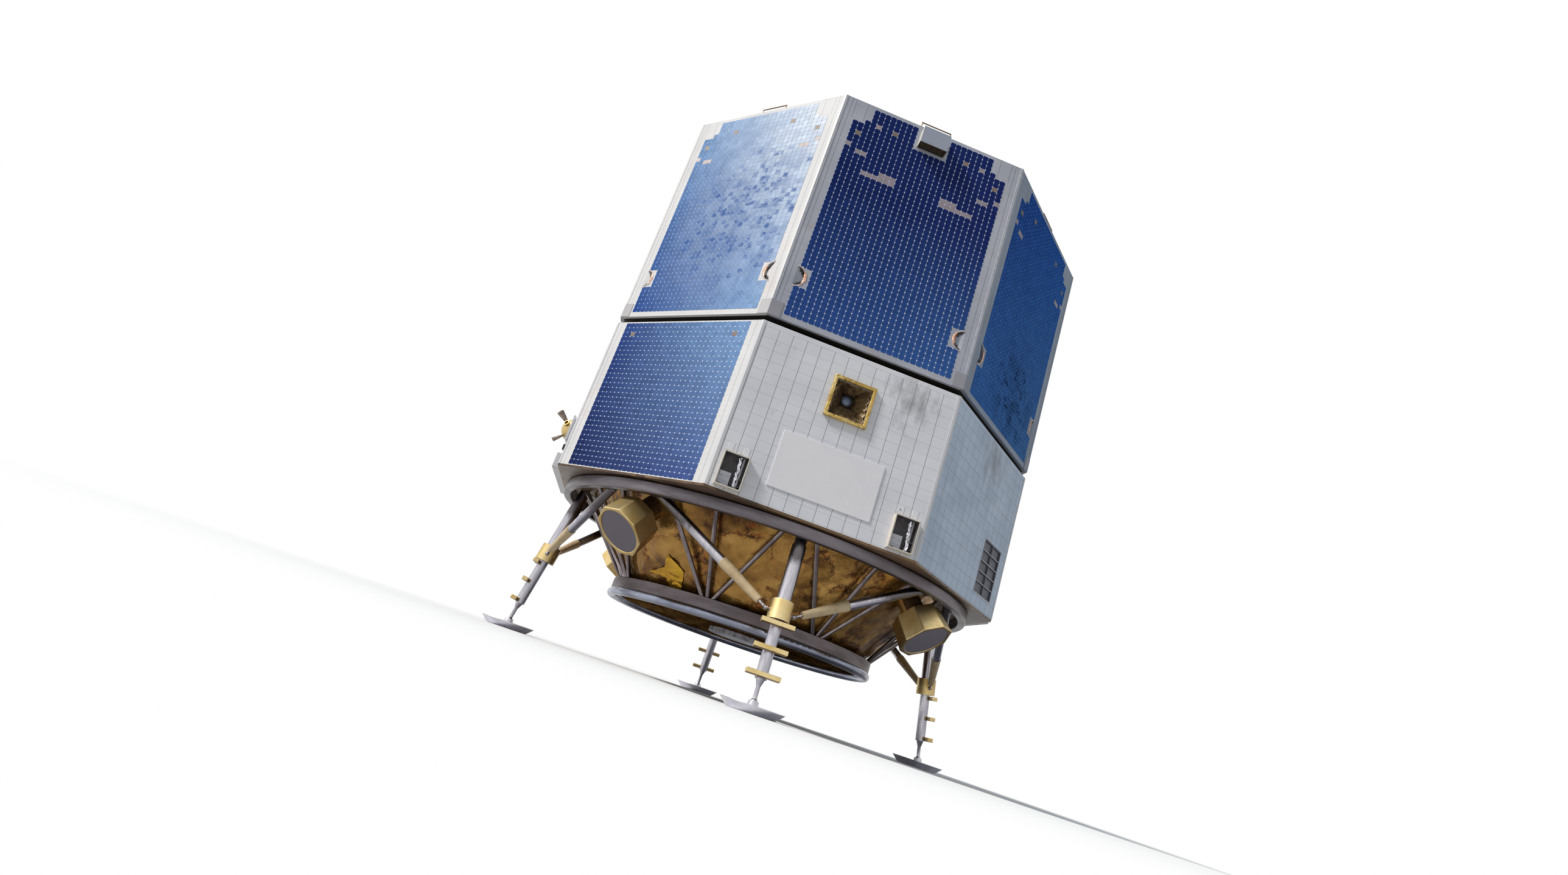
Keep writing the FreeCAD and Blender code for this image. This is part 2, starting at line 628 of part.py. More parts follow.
def build_legs():
    """Four legs: main strut, collar, crossbars, and two side struts up to the ring."""
    top, way, length = leg_line()

    def at(distance):
        return top + way * distance

    below_deck = disc(2.0 * CORNER_R, 0.0, DECK_Z)
    head = rod(top - way * UPPER_TUBE_R, at(HEAD_L), HEAD_R).common(below_deck)
    upper = union([head, rod(at(HEAD_L), at(COLLAR_START), UPPER_TUBE_R)])
    collar_end = COLLAR_START + COLLAR_L
    collar = rod(at(COLLAR_START), at(collar_end), COLLAR_R)
    waist = LOWER_TUBE_END + BELL_L
    lower = union([rod(at(collar_end), at(LOWER_TUBE_END), LOWER_TUBE_R),
                   taper(at(LOWER_TUBE_END), at(waist), BELL_R, NECK_R),
                   rod(at(waist), at(length), NECK_R),
                   Part.makeSphere(BALL_R, at(length))])
    bars = [crossbar(top, way, start) for start in CROSSBAR_STARTS]

    pieces = {"struts": [], "sleeves": [], "brackets": []}
    pin_at = at(COLLAR_START + SIDE_PIN_BELOW)
    for side in (-1, 1):
        outwards = vec(side, 0, 0)
        ball_at = pin_at + outwards * (COLLAR_R + SIDE_PIN_L)
        pin = rod(pin_at, ball_at, SIDE_PIN_R)
        collar = union([collar, pin, Part.makeSphere(SIDE_BALL_R, ball_at)])
        angle = radians(SIDE_ANGLE)
        reach = RING_INNER - BRACKET_D
        end = vec(side * reach * sin(angle), -reach * cos(angle), DECK_Z - RING_H + SIDE_TUBE_R)
        run = end - ball_at
        total = run.Length
        run.normalize()
        start = SIDE_BALL_R + FIT
        rod_end = start + SIDE_ROD_L
        sleeve_end = rod_end + SLEEVE_L
        pieces["struts"].append(rod(ball_at + run * start, ball_at + run * rod_end, SIDE_ROD_R))
        pieces["sleeves"].append(taper(ball_at + run * rod_end, ball_at + run * sleeve_end,
                                       SLEEVE_END_R, SLEEVE_R))
        block = box(-BRACKET_W / 2.0, BRACKET_W / 2.0, -RING_R, -reach, DECK_Z - RING_H, DECK_Z)
        block = block.common(disc(RING_INNER - FIT, DECK_Z - RING_H, RING_H))
        block = turned(block, side * SIDE_ANGLE)
        tube = rod(ball_at + run * sleeve_end, ball_at + run * (total + BRACKET_D), SIDE_TUBE_R)
        tube = max(tube.cut(block).Solids, key=lambda solid: solid.Volume)
        pieces["struts"].append(tube)
        pieces["brackets"].append(block)

    for index, leg in enumerate(LEGS):
        add("leg_strut_" + leg, turned(upper, 90.0 * index), turned(lower, 90.0 * index))
    shared = {"leg_collars": [collar], "leg_crossbars": bars, "side_struts": pieces["struts"],
              "side_strut_sleeves": pieces["sleeves"], "ring_brackets": pieces["brackets"]}
    for name, shapes in shared.items():
        add(name, *[turned(shape, 90.0 * k) for k in range(4) for shape in shapes])


def build_footpads():
    """Dished pads on ball ankles."""
    outline = [(0.0, PAD_RECESS), (PAD_BASE_R - PAD_FOOT_W, PAD_RECESS),
               (PAD_BASE_R - PAD_FOOT_W, 0.0), (PAD_BASE_R, 0.0), (PAD_R, PAD_H - PAD_T / 2.0),
               (PAD_R, PAD_H), (PAD_R - PAD_T, PAD_H),
               (PAD_BASE_R - PAD_T, PAD_RECESS + PAD_T), (BOSS_R, PAD_RECESS + PAD_T),
               (BOSS_TOP_R, BALL_Z + CUP_LIP), (0.0, BALL_Z + CUP_LIP)]
    corners = [vec(r, 0, z) for r, z in outline]
    face = Part.Face(Part.makePolygon(corners + corners[:1]))
    pad = face.revolve(ORIGIN, Z, 360.0)
    pad = pad.cut(Part.makeSphere(BALL_R + CUP_CLEAR, vec(0, 0, BALL_Z)))
    pad.translate(vec(0, -FOOT_R, 0))
    for index, leg in enumerate(LEGS):
        add("footpad_" + leg, turned(pad, 90.0 * index))


def main():
    build_upper()
    build_lower()
    build_thrusters()
    build_underside()
    build_legs()
    build_footpads()
    os.makedirs("parts", exist_ok=True)
    for name, solids in NODES.items():
        shape = solids[0] if len(solids) == 1 else Part.makeCompound(solids)
        shape.exportStep("parts/%s.step" % name)
    print("%d nodes, %.0f mm high" % (len(NODES), TOP_Z + RAIL_H))


main()
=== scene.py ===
"""Finishes and fine shapes of an octagonal lunar lander, built around its CAD frame."""
import logging
import math
from collections.abc import Callable, Iterable
from dataclasses import dataclass
from enum import Enum

import bmesh
import bpy
from mathutils import Matrix, Vector, noise


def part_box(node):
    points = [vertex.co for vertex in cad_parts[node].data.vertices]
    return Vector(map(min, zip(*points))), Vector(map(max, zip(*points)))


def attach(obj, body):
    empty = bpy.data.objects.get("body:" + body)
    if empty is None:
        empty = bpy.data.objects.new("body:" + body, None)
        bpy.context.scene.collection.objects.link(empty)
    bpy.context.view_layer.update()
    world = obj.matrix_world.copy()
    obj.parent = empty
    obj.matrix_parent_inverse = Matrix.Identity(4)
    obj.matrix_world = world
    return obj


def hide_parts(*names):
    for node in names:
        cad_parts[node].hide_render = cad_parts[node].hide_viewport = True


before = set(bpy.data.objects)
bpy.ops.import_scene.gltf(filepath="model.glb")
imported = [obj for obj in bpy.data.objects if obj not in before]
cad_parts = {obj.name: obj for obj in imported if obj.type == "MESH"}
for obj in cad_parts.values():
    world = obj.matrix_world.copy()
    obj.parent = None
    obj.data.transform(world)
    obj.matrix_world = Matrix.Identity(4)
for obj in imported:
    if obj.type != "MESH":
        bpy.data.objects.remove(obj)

LOG = logging.getLogger("lander")
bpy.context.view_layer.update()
MM = 0.001
UP = (0.0, 0.0, 1.0)
# painted shade: the way, down and away from the key light, in which the bare metals are painted
# darker
SHADED_WAY = (0.55, -0.15, -0.82)
FACES = 8
LEGS = ("front", "right", "back", "left")
APOTHEM = -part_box("lower_front_panel")[0].y
LANDER = "lander"
# the top edge of the tiles, and of the solar cells over the stepped corners
TILES_TOP = 2.205
STEP_TOP = 3.897
# without a seed of its own, vector noise starts from the clock and the film differs each run
FILM_SEED = 7
noise.seed_set(FILM_SEED)

Triple = tuple[float, float, float]
Four = tuple[str, str, str, str]
Socket = bpy.types.NodeSocket
BMesh = bmesh.types.BMesh
Face = bmesh.types.BMFace


class Side(Enum):
    """The eight flat sides, counted anticlockwise seen from above, from the window side."""

    FRONT = 0
    FRONT_RIGHT = 1
    RIGHT = 2
    BACK_RIGHT = 3
    BACK = 4
    BACK_LEFT = 5
    LEFT = 6
    FRONT_LEFT = 7


def linear(code: str) -> tuple[float, float, float, float]:
    """Turn an sRGB hex colour to linear RGBA.

    Args:
        code: Six hex digits after a hash.

    Returns:
        The linear colour with full alpha.
    """
    parts = [int(code[i:i + 2], 16) / 255.0 for i in (1, 3, 5)]
    levels = [p / 12.92 if p <= 0.04045 else ((p + 0.055) / 1.055) ** 2.4 for p in parts]
    return (levels[0], levels[1], levels[2], 1.0)


@dataclass
class Graph:
    """A node tree, with a short method for each kind of node that the finishes share."""

    tree: bpy.types.NodeTree

    def join(self, made: bpy.types.Node, links: dict) -> None:
        """Link sockets to a node's inputs, or set plain values on them."""
        for name, value in links.items():
            if isinstance(value, Socket):
                self.tree.links.new(value, made.inputs[name])
            else:
                made.inputs[name].default_value = value

    def add(self, kind: str, links: dict | None = None, out: int | str = 0, **settings) -> Socket:
        """Add one shader node with its settings and links.

        Args:
            kind: The node's type, without the ShaderNode prefix.
            links: Input names or numbers, each with a socket or a plain value.
            out: The output that is wanted.
            **settings: Attributes of the node.

        Returns:
            The wanted output.
        """
        made = self.tree.nodes.new("ShaderNode" + kind)
        for name, value in settings.items():
            setattr(made, name, value)
        self.join(made, links or {})
        return made.outputs[out]

    def place(self) -> Socket:
        """Return the position in the lander's frame."""
        return self.add("TexCoord", out="Object")

    def math(self, operation: str, *values: Socket | float) -> Socket:
        """Return the result of a sum on numbers."""
        return self.add("Math", dict(enumerate(values)), operation=operation)

    def vector(self, operation: str, *values: Socket | Triple) -> Socket:
        """Return the result of a sum on vectors: a number for a dot product or distance."""
        out = "Value" if operation in ("DOT_PRODUCT", "DISTANCE", "LENGTH") else "Vector"
        return self.add("VectorMath", dict(enumerate(values)), out, operation=operation)

    def mix(self, share: Socket, base: Socket | str, top: Socket | str) -> Socket:
        """Return one colour mixed into another by a share."""
        base, top = (linear(c) if isinstance(c, str) else c for c in (base, top))
        return self.add("Mix", {0: share, 6: base, 7: top}, 2, data_type="RGBA")

    def span(self, value: Socket, start: float, end: float, low: float = 0.0, high: float = 1.0,
             **settings) -> Socket:
        """Return a value's run from start to end as a run from low to high."""
        return self.add("MapRange", {"Value": value, "From Min": start, "From Max": end,
                                     "To Min": low, "To Max": high}, **settings)

    def noise(self, where: Socket, scale: float, detail: float, roughness: float = 0.5,
              out: str = "Fac", **links) -> Socket:
        """Return cloudy noise of a scale, detail and roughness."""
        return self.add("TexNoise", {"Vector": where, "Scale": scale, "Detail": detail,
                                     "Roughness": roughness, **links}, out)

    def ramp(self, value: Socket, *stops: tuple[float, str]) -> Socket:
        """Return the colour that a value reaches on a ramp of rising stops."""
        made = self.add("ValToRGB", {"Fac": value}).node
        ends = made.color_ramp.elements
        for index, (position, code) in enumerate(stops):
            stop = ends[index] if index < 2 else ends.new(position)
            stop.position = position
            stop.color = linear(code)
        return made.outputs[0]

    def bump(self, height: Socket, strength: float, distance: float, **settings) -> Socket:
        """Return the normal of a bumpy surface."""
        return self.add("Bump", {"Height": height, "Strength": strength, "Distance": distance},
                        **settings)

    def lots(self, across: Socket, up: Socket) -> tuple[Socket, Socket]:
        """Return each whole cell's number pair, and a random share for each cell."""
        cell = self.add("CombineXYZ", {"X": self.math("FLOOR", across),
                                       "Y": self.math("FLOOR", up)})
        return cell, self.add("TexWhiteNoise", {"Vector": cell}, "Value")

    def to_the_eye(self) -> Socket:
        """Return 1 for rays that end in the eye, straight or by a reflection, and 0 for others."""
        seen = self.add("LightPath").node.outputs
        shown = self.math("MAXIMUM", seen["Is Camera Ray"], seen["Is Glossy Ray"])
        return self.math("MAXIMUM", shown, seen["Is Transmission Ray"])

    def along_and_up(self) -> tuple[Socket, Socket]:
        """Return the distance along a flat side from its middle, and the height."""
        where = self.place()
        tangent = self.vector("CROSS_PRODUCT", UP, self.add("NewGeometry", out="True Normal"))
        height = self.add("SeparateXYZ", {"Vector": where}, "Z")
        return self.vector("DOT_PRODUCT", where, tangent), height

    def seams(self, distance: Socket, pitch: float, start: float, width: float) -> Socket:
        """Return lines at an even pitch: 1 on a line and 0 between.

        Args:
            distance: The distance across the lines.
            pitch: Metres from line to line.
            start: Where one of the lines lies.
            width: Width of a line.

        Returns:
            The lines.
        """
        moved = self.math("SUBTRACT", distance, start - pitch / 2.0)
        fold = self.math("PINGPONG", moved, pitch / 2.0)
        return self.span(self.math("SUBTRACT", pitch / 2.0, fold), width * 0.3, width * 0.7,
                         1.0, 0.0)

    def four_corners(self, colours: Four, size: Triple, wander: float,
                     top_at: float = 1.0) -> tuple[Socket, Socket]:
        """Blend four colours over a panel's chart, with a cloudy drift.

        Args:
            colours: Bottom left, bottom right, top left and top right colours.
            size: Half the panel's width, its bottom and its height.
            wander: How far the blend drifts, as a share of the panel.
            top_at: The share of the height at which the top colours are reached.

        Returns:
            The blended colour and the panel's chart.
        """
        half, bottom, tall = size
        chart = self.add("UVMap", uv_map="panel")
        cloud = self.noise(chart, 2.2, 6.0, 0.6, "Color")
        drift = self.vector("SUBTRACT", cloud, (0.5, 0.5, 0.5))
        reach = (wander * 2.0 * half, wander * tall, 0.0)
        drift = self.vector("MULTIPLY_ADD", drift, reach, chart)
        part = self.add("SeparateXYZ", {"Vector": drift}).node.outputs
        across = self.span(part["X"], -half, half)
        rise = self.span(part["Y"], bottom, bottom + tall * top_at)
        low, high = self.mix(across, *colours[:2]), self.mix(across, *colours[2:])
        return self.mix(rise, low, high), chart


@dataclass(frozen=True)
class Finish:
    """A surface finish: its name, and the record's material slot that it belongs to."""

    name: str
    slot: str

    def material(self) -> bpy.types.Material:
        """Return this finish's material, made once."""
        known = bpy.data.materials.get(self.name)
        if known:
            return known
        made = bpy.data.materials.new(self.name)
        made.use_nodes = True
        graph = Graph(made.node_tree)
        graph.join(made.node_tree.nodes["Principled BSDF"], self.looks(graph))
        return made

    def looks(self, g: Graph) -> dict:
        """Add this finish's nodes, and return the shader's inputs."""
        raise NotImplementedError


@dataclass(frozen=True)
class Metal(Finish):
    """Bare or anodised metal: drawn streaks, fine grain, and painted shade on the sides that face
    down and away from the key light.
    """

    light: str
    dark: str
    roughness: float = 0.32
    cloud_mm: float = 180.0
    grain_mm: float = 3.0
    grain_depth_mm: float = 0.05
    shade_top: float = 0.0
    shade_tone: str = "#3a3434"
    stretch: Triple = (1.0, 1.0, 1.0)
    # painted shade on the sides that face down and away from the key light: its colour and share
    painted_shade_colour: str = "#4c4856"
    painted_shade_share: float = 0.0

    def looks(self, g: Graph) -> dict:
        """Add the metal's nodes, and return the shader's inputs."""
        where = g.place()
        drawn = g.add("Mapping", {"Vector": where, "Scale": self.stretch})
        cloud = g.noise(drawn, 1.0 / (self.cloud_mm * MM), 4.0, 0.6)
        grain = g.noise(drawn, 1.0 / (self.grain_mm * MM), 2.0)
        colour = g.ramp(cloud, (0.34, self.dark), (0.62, self.light))
        if self.painted_shade_share:
            # painted shade: darker on the faces that turn down and away from the key light, mixed
            # with cloud
            away = g.vector("DOT_PRODUCT", g.add("NewGeometry", out="Normal"), SHADED_WAY)
            film = g.math("MULTIPLY_ADD", cloud, 0.5, away)
            colour = g.mix(g.span(film, 0.25, 1.05, 0.0, self.painted_shade_share), colour, self.painted_shade_colour)
        # partly painted shadow under the ring and partly stain: darker above shade_top
        if self.shade_top:
            height = g.add("SeparateXYZ", {"Vector": where}, "Z")
            shade = g.span(g.math("MULTIPLY_ADD", cloud, 0.12, height), self.shade_top,
                           self.shade_top + 0.05, 0.0, 0.85)
            colour = g.mix(shade, colour, self.shade_tone)
        rough = g.span(cloud, 0.3, 0.7, self.roughness + 0.08, self.roughness - 0.06)
        return {"Base Color": colour, "Metallic": 1.0, "Roughness": rough,
                "Normal": g.bump(grain, 0.5, self.grain_depth_mm * MM)}


@dataclass(frozen=True)
class Paint(Finish):
    """Sprayed satin paint, with faint clouding, dust and small specks."""

    base: str
    dirt: str
    roughness: float = 0.5
    cloud_mm: float = 220.0
    amount: float = 0.35

    def looks(self, g: Graph) -> dict:
        """Add the paint's nodes, and return the shader's inputs."""
        where = g.place()
        cloud = g.noise(where, 1.0 / (self.cloud_mm * MM), 6.0, 0.65)
        dirty = g.span(cloud, 0.42, 0.75, 0.0, self.amount)
        return {"Base Color": g.mix(dirty, self.base, self.dirt), "Roughness": self.roughness,
                "Normal": g.bump(g.noise(where, 160.0, 2.0), 0.3, 0.0002)}


@dataclass(frozen=True)
class TiledSkin(Finish):
    """Satin thermal tiles glued edge to edge: thin dark joints, cloudy tone and soot."""

    base: str
    shade: str
    joint: str
    across: float = 0.0935
    up: float = 0.0715
    joint_width: float = 0.0032
    cross_strength: float = 0.3
    start: float = 0.0035
    mottle: float = 0.12
    soot: Triple = (0.39, -1.63, 2.09)
    soot_radius: float = 0.24
    soot_tone: str = "#5c5a5d"

    def looks(self, g: Graph) -> dict:
        """Add the tiles' nodes, and return the shader's inputs."""
        along, height = g.along_and_up()
        below = g.math("LESS_THAN", height, TILES_TOP + 2.0 * MM)
        upright = g.seams(along, self.across, self.start, self.joint_width)
        level = g.seams(height, self.up, TILES_TOP, self.joint_width)
        lines = g.math("MAXIMUM", g.math("MULTIPLY", upright, below),
                       g.math("MULTIPLY", level, self.cross_strength))
        _, lot = g.lots(g.math("MULTIPLY", along, 1.0 / self.across),
                        g.math("MULTIPLY", height, 1.0 / self.up))
        where = g.place()
        cloud = g.noise(where, 3.2, 6.0, 0.6)
        tone = g.ramp(g.math("MULTIPLY_ADD", lot, self.mottle, cloud), (0.36, self.shade),
                      (0.66, self.base))
        near = g.span(g.vector("DISTANCE", where, self.soot), 0.0, self.soot_radius, 1.0, 0.0)
        streaks = g.add("Mapping", {"Vector": where, "Scale": (1.7, 1.7, 0.75)})
        smoke = g.noise(streaks, 9.0, 7.0, 0.66, Distortion=0.15)
        sooty = g.span(g.math("MULTIPLY_ADD", near, 0.42, smoke), 0.62, 1.0, 0.0, 0.68)
        colour = g.mix(lines, g.mix(sooty, tone, self.soot_tone), self.joint)
        return {"Base Color": colour, "Roughness": 0.48,
                "Normal": g.bump(lines, 0.6, 0.6 * MM, invert=True)}


@dataclass(frozen=True)
class PanelSkin(Finish):
    """The pale skin of a solar panel where it shows, with the joints of its border tapes."""

    base: str = "#c6c7ce"
    shade: str = "#a9abb4"
    joint: str = "#5a5862"
    stain: str = "#a8948d"

    def looks(self, g: Graph) -> dict:
        """Add the border's nodes, and return the shader's inputs."""
        along, height = g.along_and_up()
        side = g.math("ABSOLUTE", along)
        high = g.math("GREATER_THAN", height, STEP_TOP)
        upright = None
        for place, always in ((0.622, True), (0.664, True), (0.592, False), (0.508, False)):
            away = g.math("ABSOLUTE", g.math("SUBTRACT", side, place))
            line = g.span(away, 0.7 * MM, 2.2 * MM, 0.75, 0.0)
            line = line if always else g.math("MULTIPLY", line, high)
            upright = g.math("MAXIMUM", upright, line) if upright else line
        where = g.place()
        faint = g.span(g.noise(where, 8.0, 3.0), 0.35, 0.65, 0.04, 0.26)
        rows = g.math("MULTIPLY", g.seams(height, 0.0354, STEP_TOP, 2.4 * MM), faint)
        lines = g.math("MAXIMUM", upright, rows)
        tone = g.ramp(g.noise(where, 2.6, 5.0, 0.55), (0.3, self.shade), (0.6, self.base))
        warm = g.span(g.noise(where, 5.1, 5.0, 0.6), 0.56, 0.78, 0.0, 0.5)
        colour = g.mix(lines, g.mix(warm, tone, self.stain), self.joint)
        return {"Base Color": colour, "Roughness": 0.55, "Specular IOR Level": 0.2,
                "Normal": g.bump(lines, 0.5, 0.6 * MM, invert=True)}


@dataclass(frozen=True)
class CellGrid(Finish):
    """The lacquered backing that shows between the cells, paler or darker across the panel."""

    corners: Four
    size: Triple = (0.576, 2.323, 1.6995)

    def looks(self, g: Graph) -> dict:
        """Add the backing's nodes, and return the shader's inputs."""
        blend, chart = g.four_corners(self.corners, self.size, 0.25)
        worn = g.span(g.noise(chart, 60.0, 2.0), 0.4, 0.65, 0.0, 0.25)
        return {"Base Color": g.mix(worn, blend, "#ffffff"), "Roughness": 0.5,
                "Specular IOR Level": 0.2}


@dataclass(frozen=True)
class SolarGlass(Finish):
    """Silicon cells under cover glass: blue that drifts over the panel, odd and stained cells."""

    corners: Four
    stain: str
    stain_at: Triple = (0.0, 0.0, 0.1)
    stain_pull: float = 0.3
    cluster: float = 0.34
    wander: float = 0.18
    odd: float = 0.1
    top_at: float = 1.0
    gloss: float = 0.02
    size: Triple = (0.576, 2.323, 1.6995)
    pitch: tuple[float, float] = (0.04114, 0.0354)

    def looks(self, g: Graph) -> dict:
        """Add the cells' nodes, and return the shader's inputs."""
        blend, chart = g.four_corners(self.corners, self.size, self.wander, self.top_at)
        part = g.add("SeparateXYZ", {"Vector": chart}).node.outputs
        edges = (-self.size[0], self.size[1])
        cell, lot = g.lots(*(g.math("MULTIPLY", g.math("SUBTRACT", part[axis], edge), 1.0 / pitch)
                             for axis, edge, pitch in zip("XY", edges, self.pitch)))
        vary = g.span(lot, 0.0, 1.0, 1.0 - self.odd, 1.0 + self.odd)
        blue = g.add("VectorMath", {0: blend, "Scale": vary}, operation="SCALE")
        # whole cells stain in small clusters that gather round one place
        across, up, reach = self.stain_at
        near = g.span(g.vector("DISTANCE", chart, (across, up, 0.0)), reach * 0.2, reach,
                      self.stain_pull, 0.0, interpolation_type="SMOOTHSTEP")
        haze = g.span(g.noise(chart, 5.5, 7.0, 0.6), 0.48, 0.6, 0.0, 0.9)
        blue = g.mix(g.math("MULTIPLY", haze, near), blue, self.stain)
        cluster = g.noise(cell, self.cluster, 3.0, 0.65)
        score = g.math("ADD", g.math("MULTIPLY_ADD", lot, 0.3, cluster), near)
        smudge = g.span(g.noise(chart, 26.0, 3.0), 0.38, 0.56, 0.35)
        stain = g.math("MULTIPLY", g.span(score, 1.01, 1.22, 0.0, 0.85), smudge)
        return {"Base Color": g.mix(stain, blue, self.stain), "Roughness": 0.32,
                "Specular IOR Level": self.gloss}


@dataclass(frozen=True)
class Foil(Finish):
    """Crumpled metallised film: plates of several tones between crease bands with painted shade and
    painted glints.
    """

    dark: str
    mid: str
    bright: str
    plate_mm: float = 260.0
    crease_mm: float = 45.0
    depth_mm: float = 14.0
    roughness: float = 0.26
    stretch: Triple = (1.0, 1.0, 1.0)
    # painted light: the way that lighter folds face, and the level where they turn darker
    slope: Triple = (0.0, 0.0, 0.0)
    slope_mid: float = 0.0
    metallic: float = 0.7
    # the share and the colour of the painted glints and reflections along the creases
    glint: float = 0.6
    glint_tone: str = ""
    detail: float = 6.0

    def looks(self, g: Graph) -> dict:
        """Add the film's nodes. Painted light: folds that face the dark ground are painted darker
        than the others, and creases are painted darker, with painted glints.
        """
        drawn = g.add("Mapping", {"Vector": g.place(), "Scale": self.stretch})
        warp = g.noise(drawn, 3.6, 5.0, 0.62, "Color")
        push = g.vector("MULTIPLY_ADD", warp, (0.42, 0.42, 0.42), drawn)
        large, small = ({"Vector": push, "Scale": 1.0 / (size * MM)}
                        for size in (self.plate_mm, self.crease_mm))
        edge, fine = (g.add("TexVoronoi", cells, "Distance", feature="DISTANCE_TO_EDGE")
                      for cells in (large, small))
        plate, flake = (g.add("SeparateColor", {"Color": g.add("TexVoronoi", cells, "Color")}, part)
                        for cells, part in ((large, "Red"), (small, "Green")))
        cloud = g.noise(push, 2.4, self.detail, 0.68)
        # painted light: folds are painted lighter or darker by the way that they face
        tilt = g.vector("DOT_PRODUCT", g.add("NewGeometry", out="Normal"), self.slope)
        light = g.math("ADD", cloud, g.math("SUBTRACT", tilt, self.slope_mid))
        tone = g.ramp(g.math("MULTIPLY_ADD", plate, 0.22, light), (0.40, self.dark),
                      (0.56, self.mid), (0.86, self.bright))
        glint_colour = g.ramp(flake, (0.35, self.dark), (0.62, self.glint_tone or self.mid),
                       (1.0, self.bright))
        # painted shade in the creases, with painted glints and reflections along them
        crease = g.math("MULTIPLY", g.span(edge, 0.0, 0.16, 1.0, 0.0),
                        g.span(warp.node.outputs["Fac"], 0.42, 0.58))
        colour = g.mix(g.span(crease, 0.15, 0.7, 0.0, self.glint), tone, glint_colour)
        colour = g.mix(g.span(crease, 0.55, 0.95, 0.0, 0.8), colour, self.dark)
        height = g.math("ADD", edge, g.math("MULTIPLY", fine, 0.2))
        height = g.math("MULTIPLY_ADD", cloud, 0.8, height)
        return {"Base Color": colour, "Metallic": self.metallic, "Roughness": self.roughness,
                "Normal": g.bump(height, 0.9, self.depth_mm * MM),
                "Specular IOR Level": 0.5 if self.metallic > 0.0 else 0.0}


# Every finish of the lander. Hex values are the colours of the real surfaces in plain light, except
# where painted light is noted below.
# Ceramic-painted quartz tiles, glued edge to edge: matt, near white, sooty in places.
WHITE_TILES = TiledSkin("white_quartz_tiles", "white_panel_tiles", "#e3e3e9", "#d6d7de",
                        "#7f7f88")
SIDE_TILES = TiledSkin("white_quartz_tiles_sides", "white_panel_tiles", "#d6d5d8", "#c6c5cb",
                       "#7c7b82", soot=(1.7, 0.4, 1.5), soot_radius=0.4)
# Silvered radiator tiles: cooler and cloudier, with joints in both directions.
RADIATOR_TILES = TiledSkin("silvered_radiator_tiles", "radiator_tiles", "#bccbe0", "#a6b7cd",
                           "#6f7d8c", across=0.09, cross_strength=0.7, start=-0.031,
                           mottle=0.16, soot=(1.2, -1.1, 2.1), soot_radius=0.3)
# Glass-fibre panel skins and tapes round the cells: satin, in copies painted paler on the sunward
# side and darker on the shaded side.
# the paler copy, painted sunlit, for the front-left; the lower solar panels use it too
PALE_SKIN = PanelSkin("pale_panel_skin", "solar_panel", "#dbdada", "#cfcecf", "#8b8990",
                       "#d0bdb4")
GREY_SKIN = PanelSkin("grey_panel_skin", "solar_panel", "#b8bac5", "#a2a5b1", "#565662")
# the darker copy, painted shaded, for the front-right and copied onto the back-left
SLATE_SKIN = PanelSkin("slate_panel_skin", "solar_panel", "#94a0b2", "#818c9d", "#4f5560",
                       "#8f8484")
# Enamelled plate: smooth and the whitest thing on the lander.
BLANK_PAINT = Paint("blank_plate_enamel", "white_panel_tiles", "#eceaee", "#d9d8df", 0.42)
WHITE_TRIM = Paint("white_trim_paint", "white_trim", "#cfcfd3", "#a8a6ac", 0.45)
# Covers and trim tapes in three copies by how each side faces the key light: grey, a paler copy
# painted sunlit and a darker one painted shaded.
GREY_COVER = Paint("grey_cover_paint", "grey_cover", "#98979f", "#7c7a84", 0.5)
SUNLIT_COVER = Paint("cover_paint_painted_sunlit", "grey_cover", "#b6b4b6", "#9a989d", 0.5)
SHADED_COVER = Paint("cover_paint_painted_shade", "grey_cover", "#7b8291", "#646b79", 0.5)
SUNLIT_TRIM = Paint("trim_tape_painted_sunlit", "white_trim", "#dad9d8", "#bdbbbb", 0.5)
GREY_TRIM = Paint("grey_trim_tape", "white_trim", "#b4b5bf", "#96959b", 0.5, 30.0, 0.8)
SHADED_TRIM = Paint("trim_tape_painted_shade", "white_trim", "#949ca8", "#7d848f", 0.5, 30.0, 0.8)
BOX_FACE = Paint("slate_box_paint", "grey_cover", "#9aa0b0", "#868c9b", 0.45)
BOX_SIDE = Paint("cream_box_paint", "grey_cover", "#dcd8cf", "#b8b3a9", 0.5)
CREAM_FRAME = Paint("cream_frame_paint", "cream_frame", "#d3cbbf", "#8f8375", 0.5)
BOX_INSIDE = Paint("dark_box_inside", "dark_aperture", "#625e60", "#2f2c2e", 0.7, 35.0, 0.9)
PALE_BLOCK = Paint("pale_unit_paint", "white_trim", "#d2d1d7", "#a5a4ab", 0.5, 40.0, 0.5)
PAD_PAINT = Paint("pale_patch_paint", "white_panel_tiles", "#e6e6ea", "#cfcfd6", 0.5, 60.0)
BLACK_OXIDE = Paint("black_oxide_steel", "body_structure", "#2a2829", "#3b3839", 0.5)
DARK_STRUCTURE = Paint("dark_structure_paint", "body_structure", "#24221d", "#3a352c", 0.7)
DARK_GREY = Paint("dark_grey_coating", "dark_aperture", "#6a6470", "#55505c", 0.55)
GRILLE_DARK = Paint("grille_dark_coating", "dark_aperture", "#50525d", "#34363f", 0.5)
LOUVRE_BROWN = Paint("bronze_crate_coating", "dark_aperture", "#3a3128", "#1f1a15", 0.5)
CRATE_FLOOR = Paint("olive_brown_lining", "dark_aperture", "#6b5540", "#43402a", 0.55, 40.0,
                    0.9)
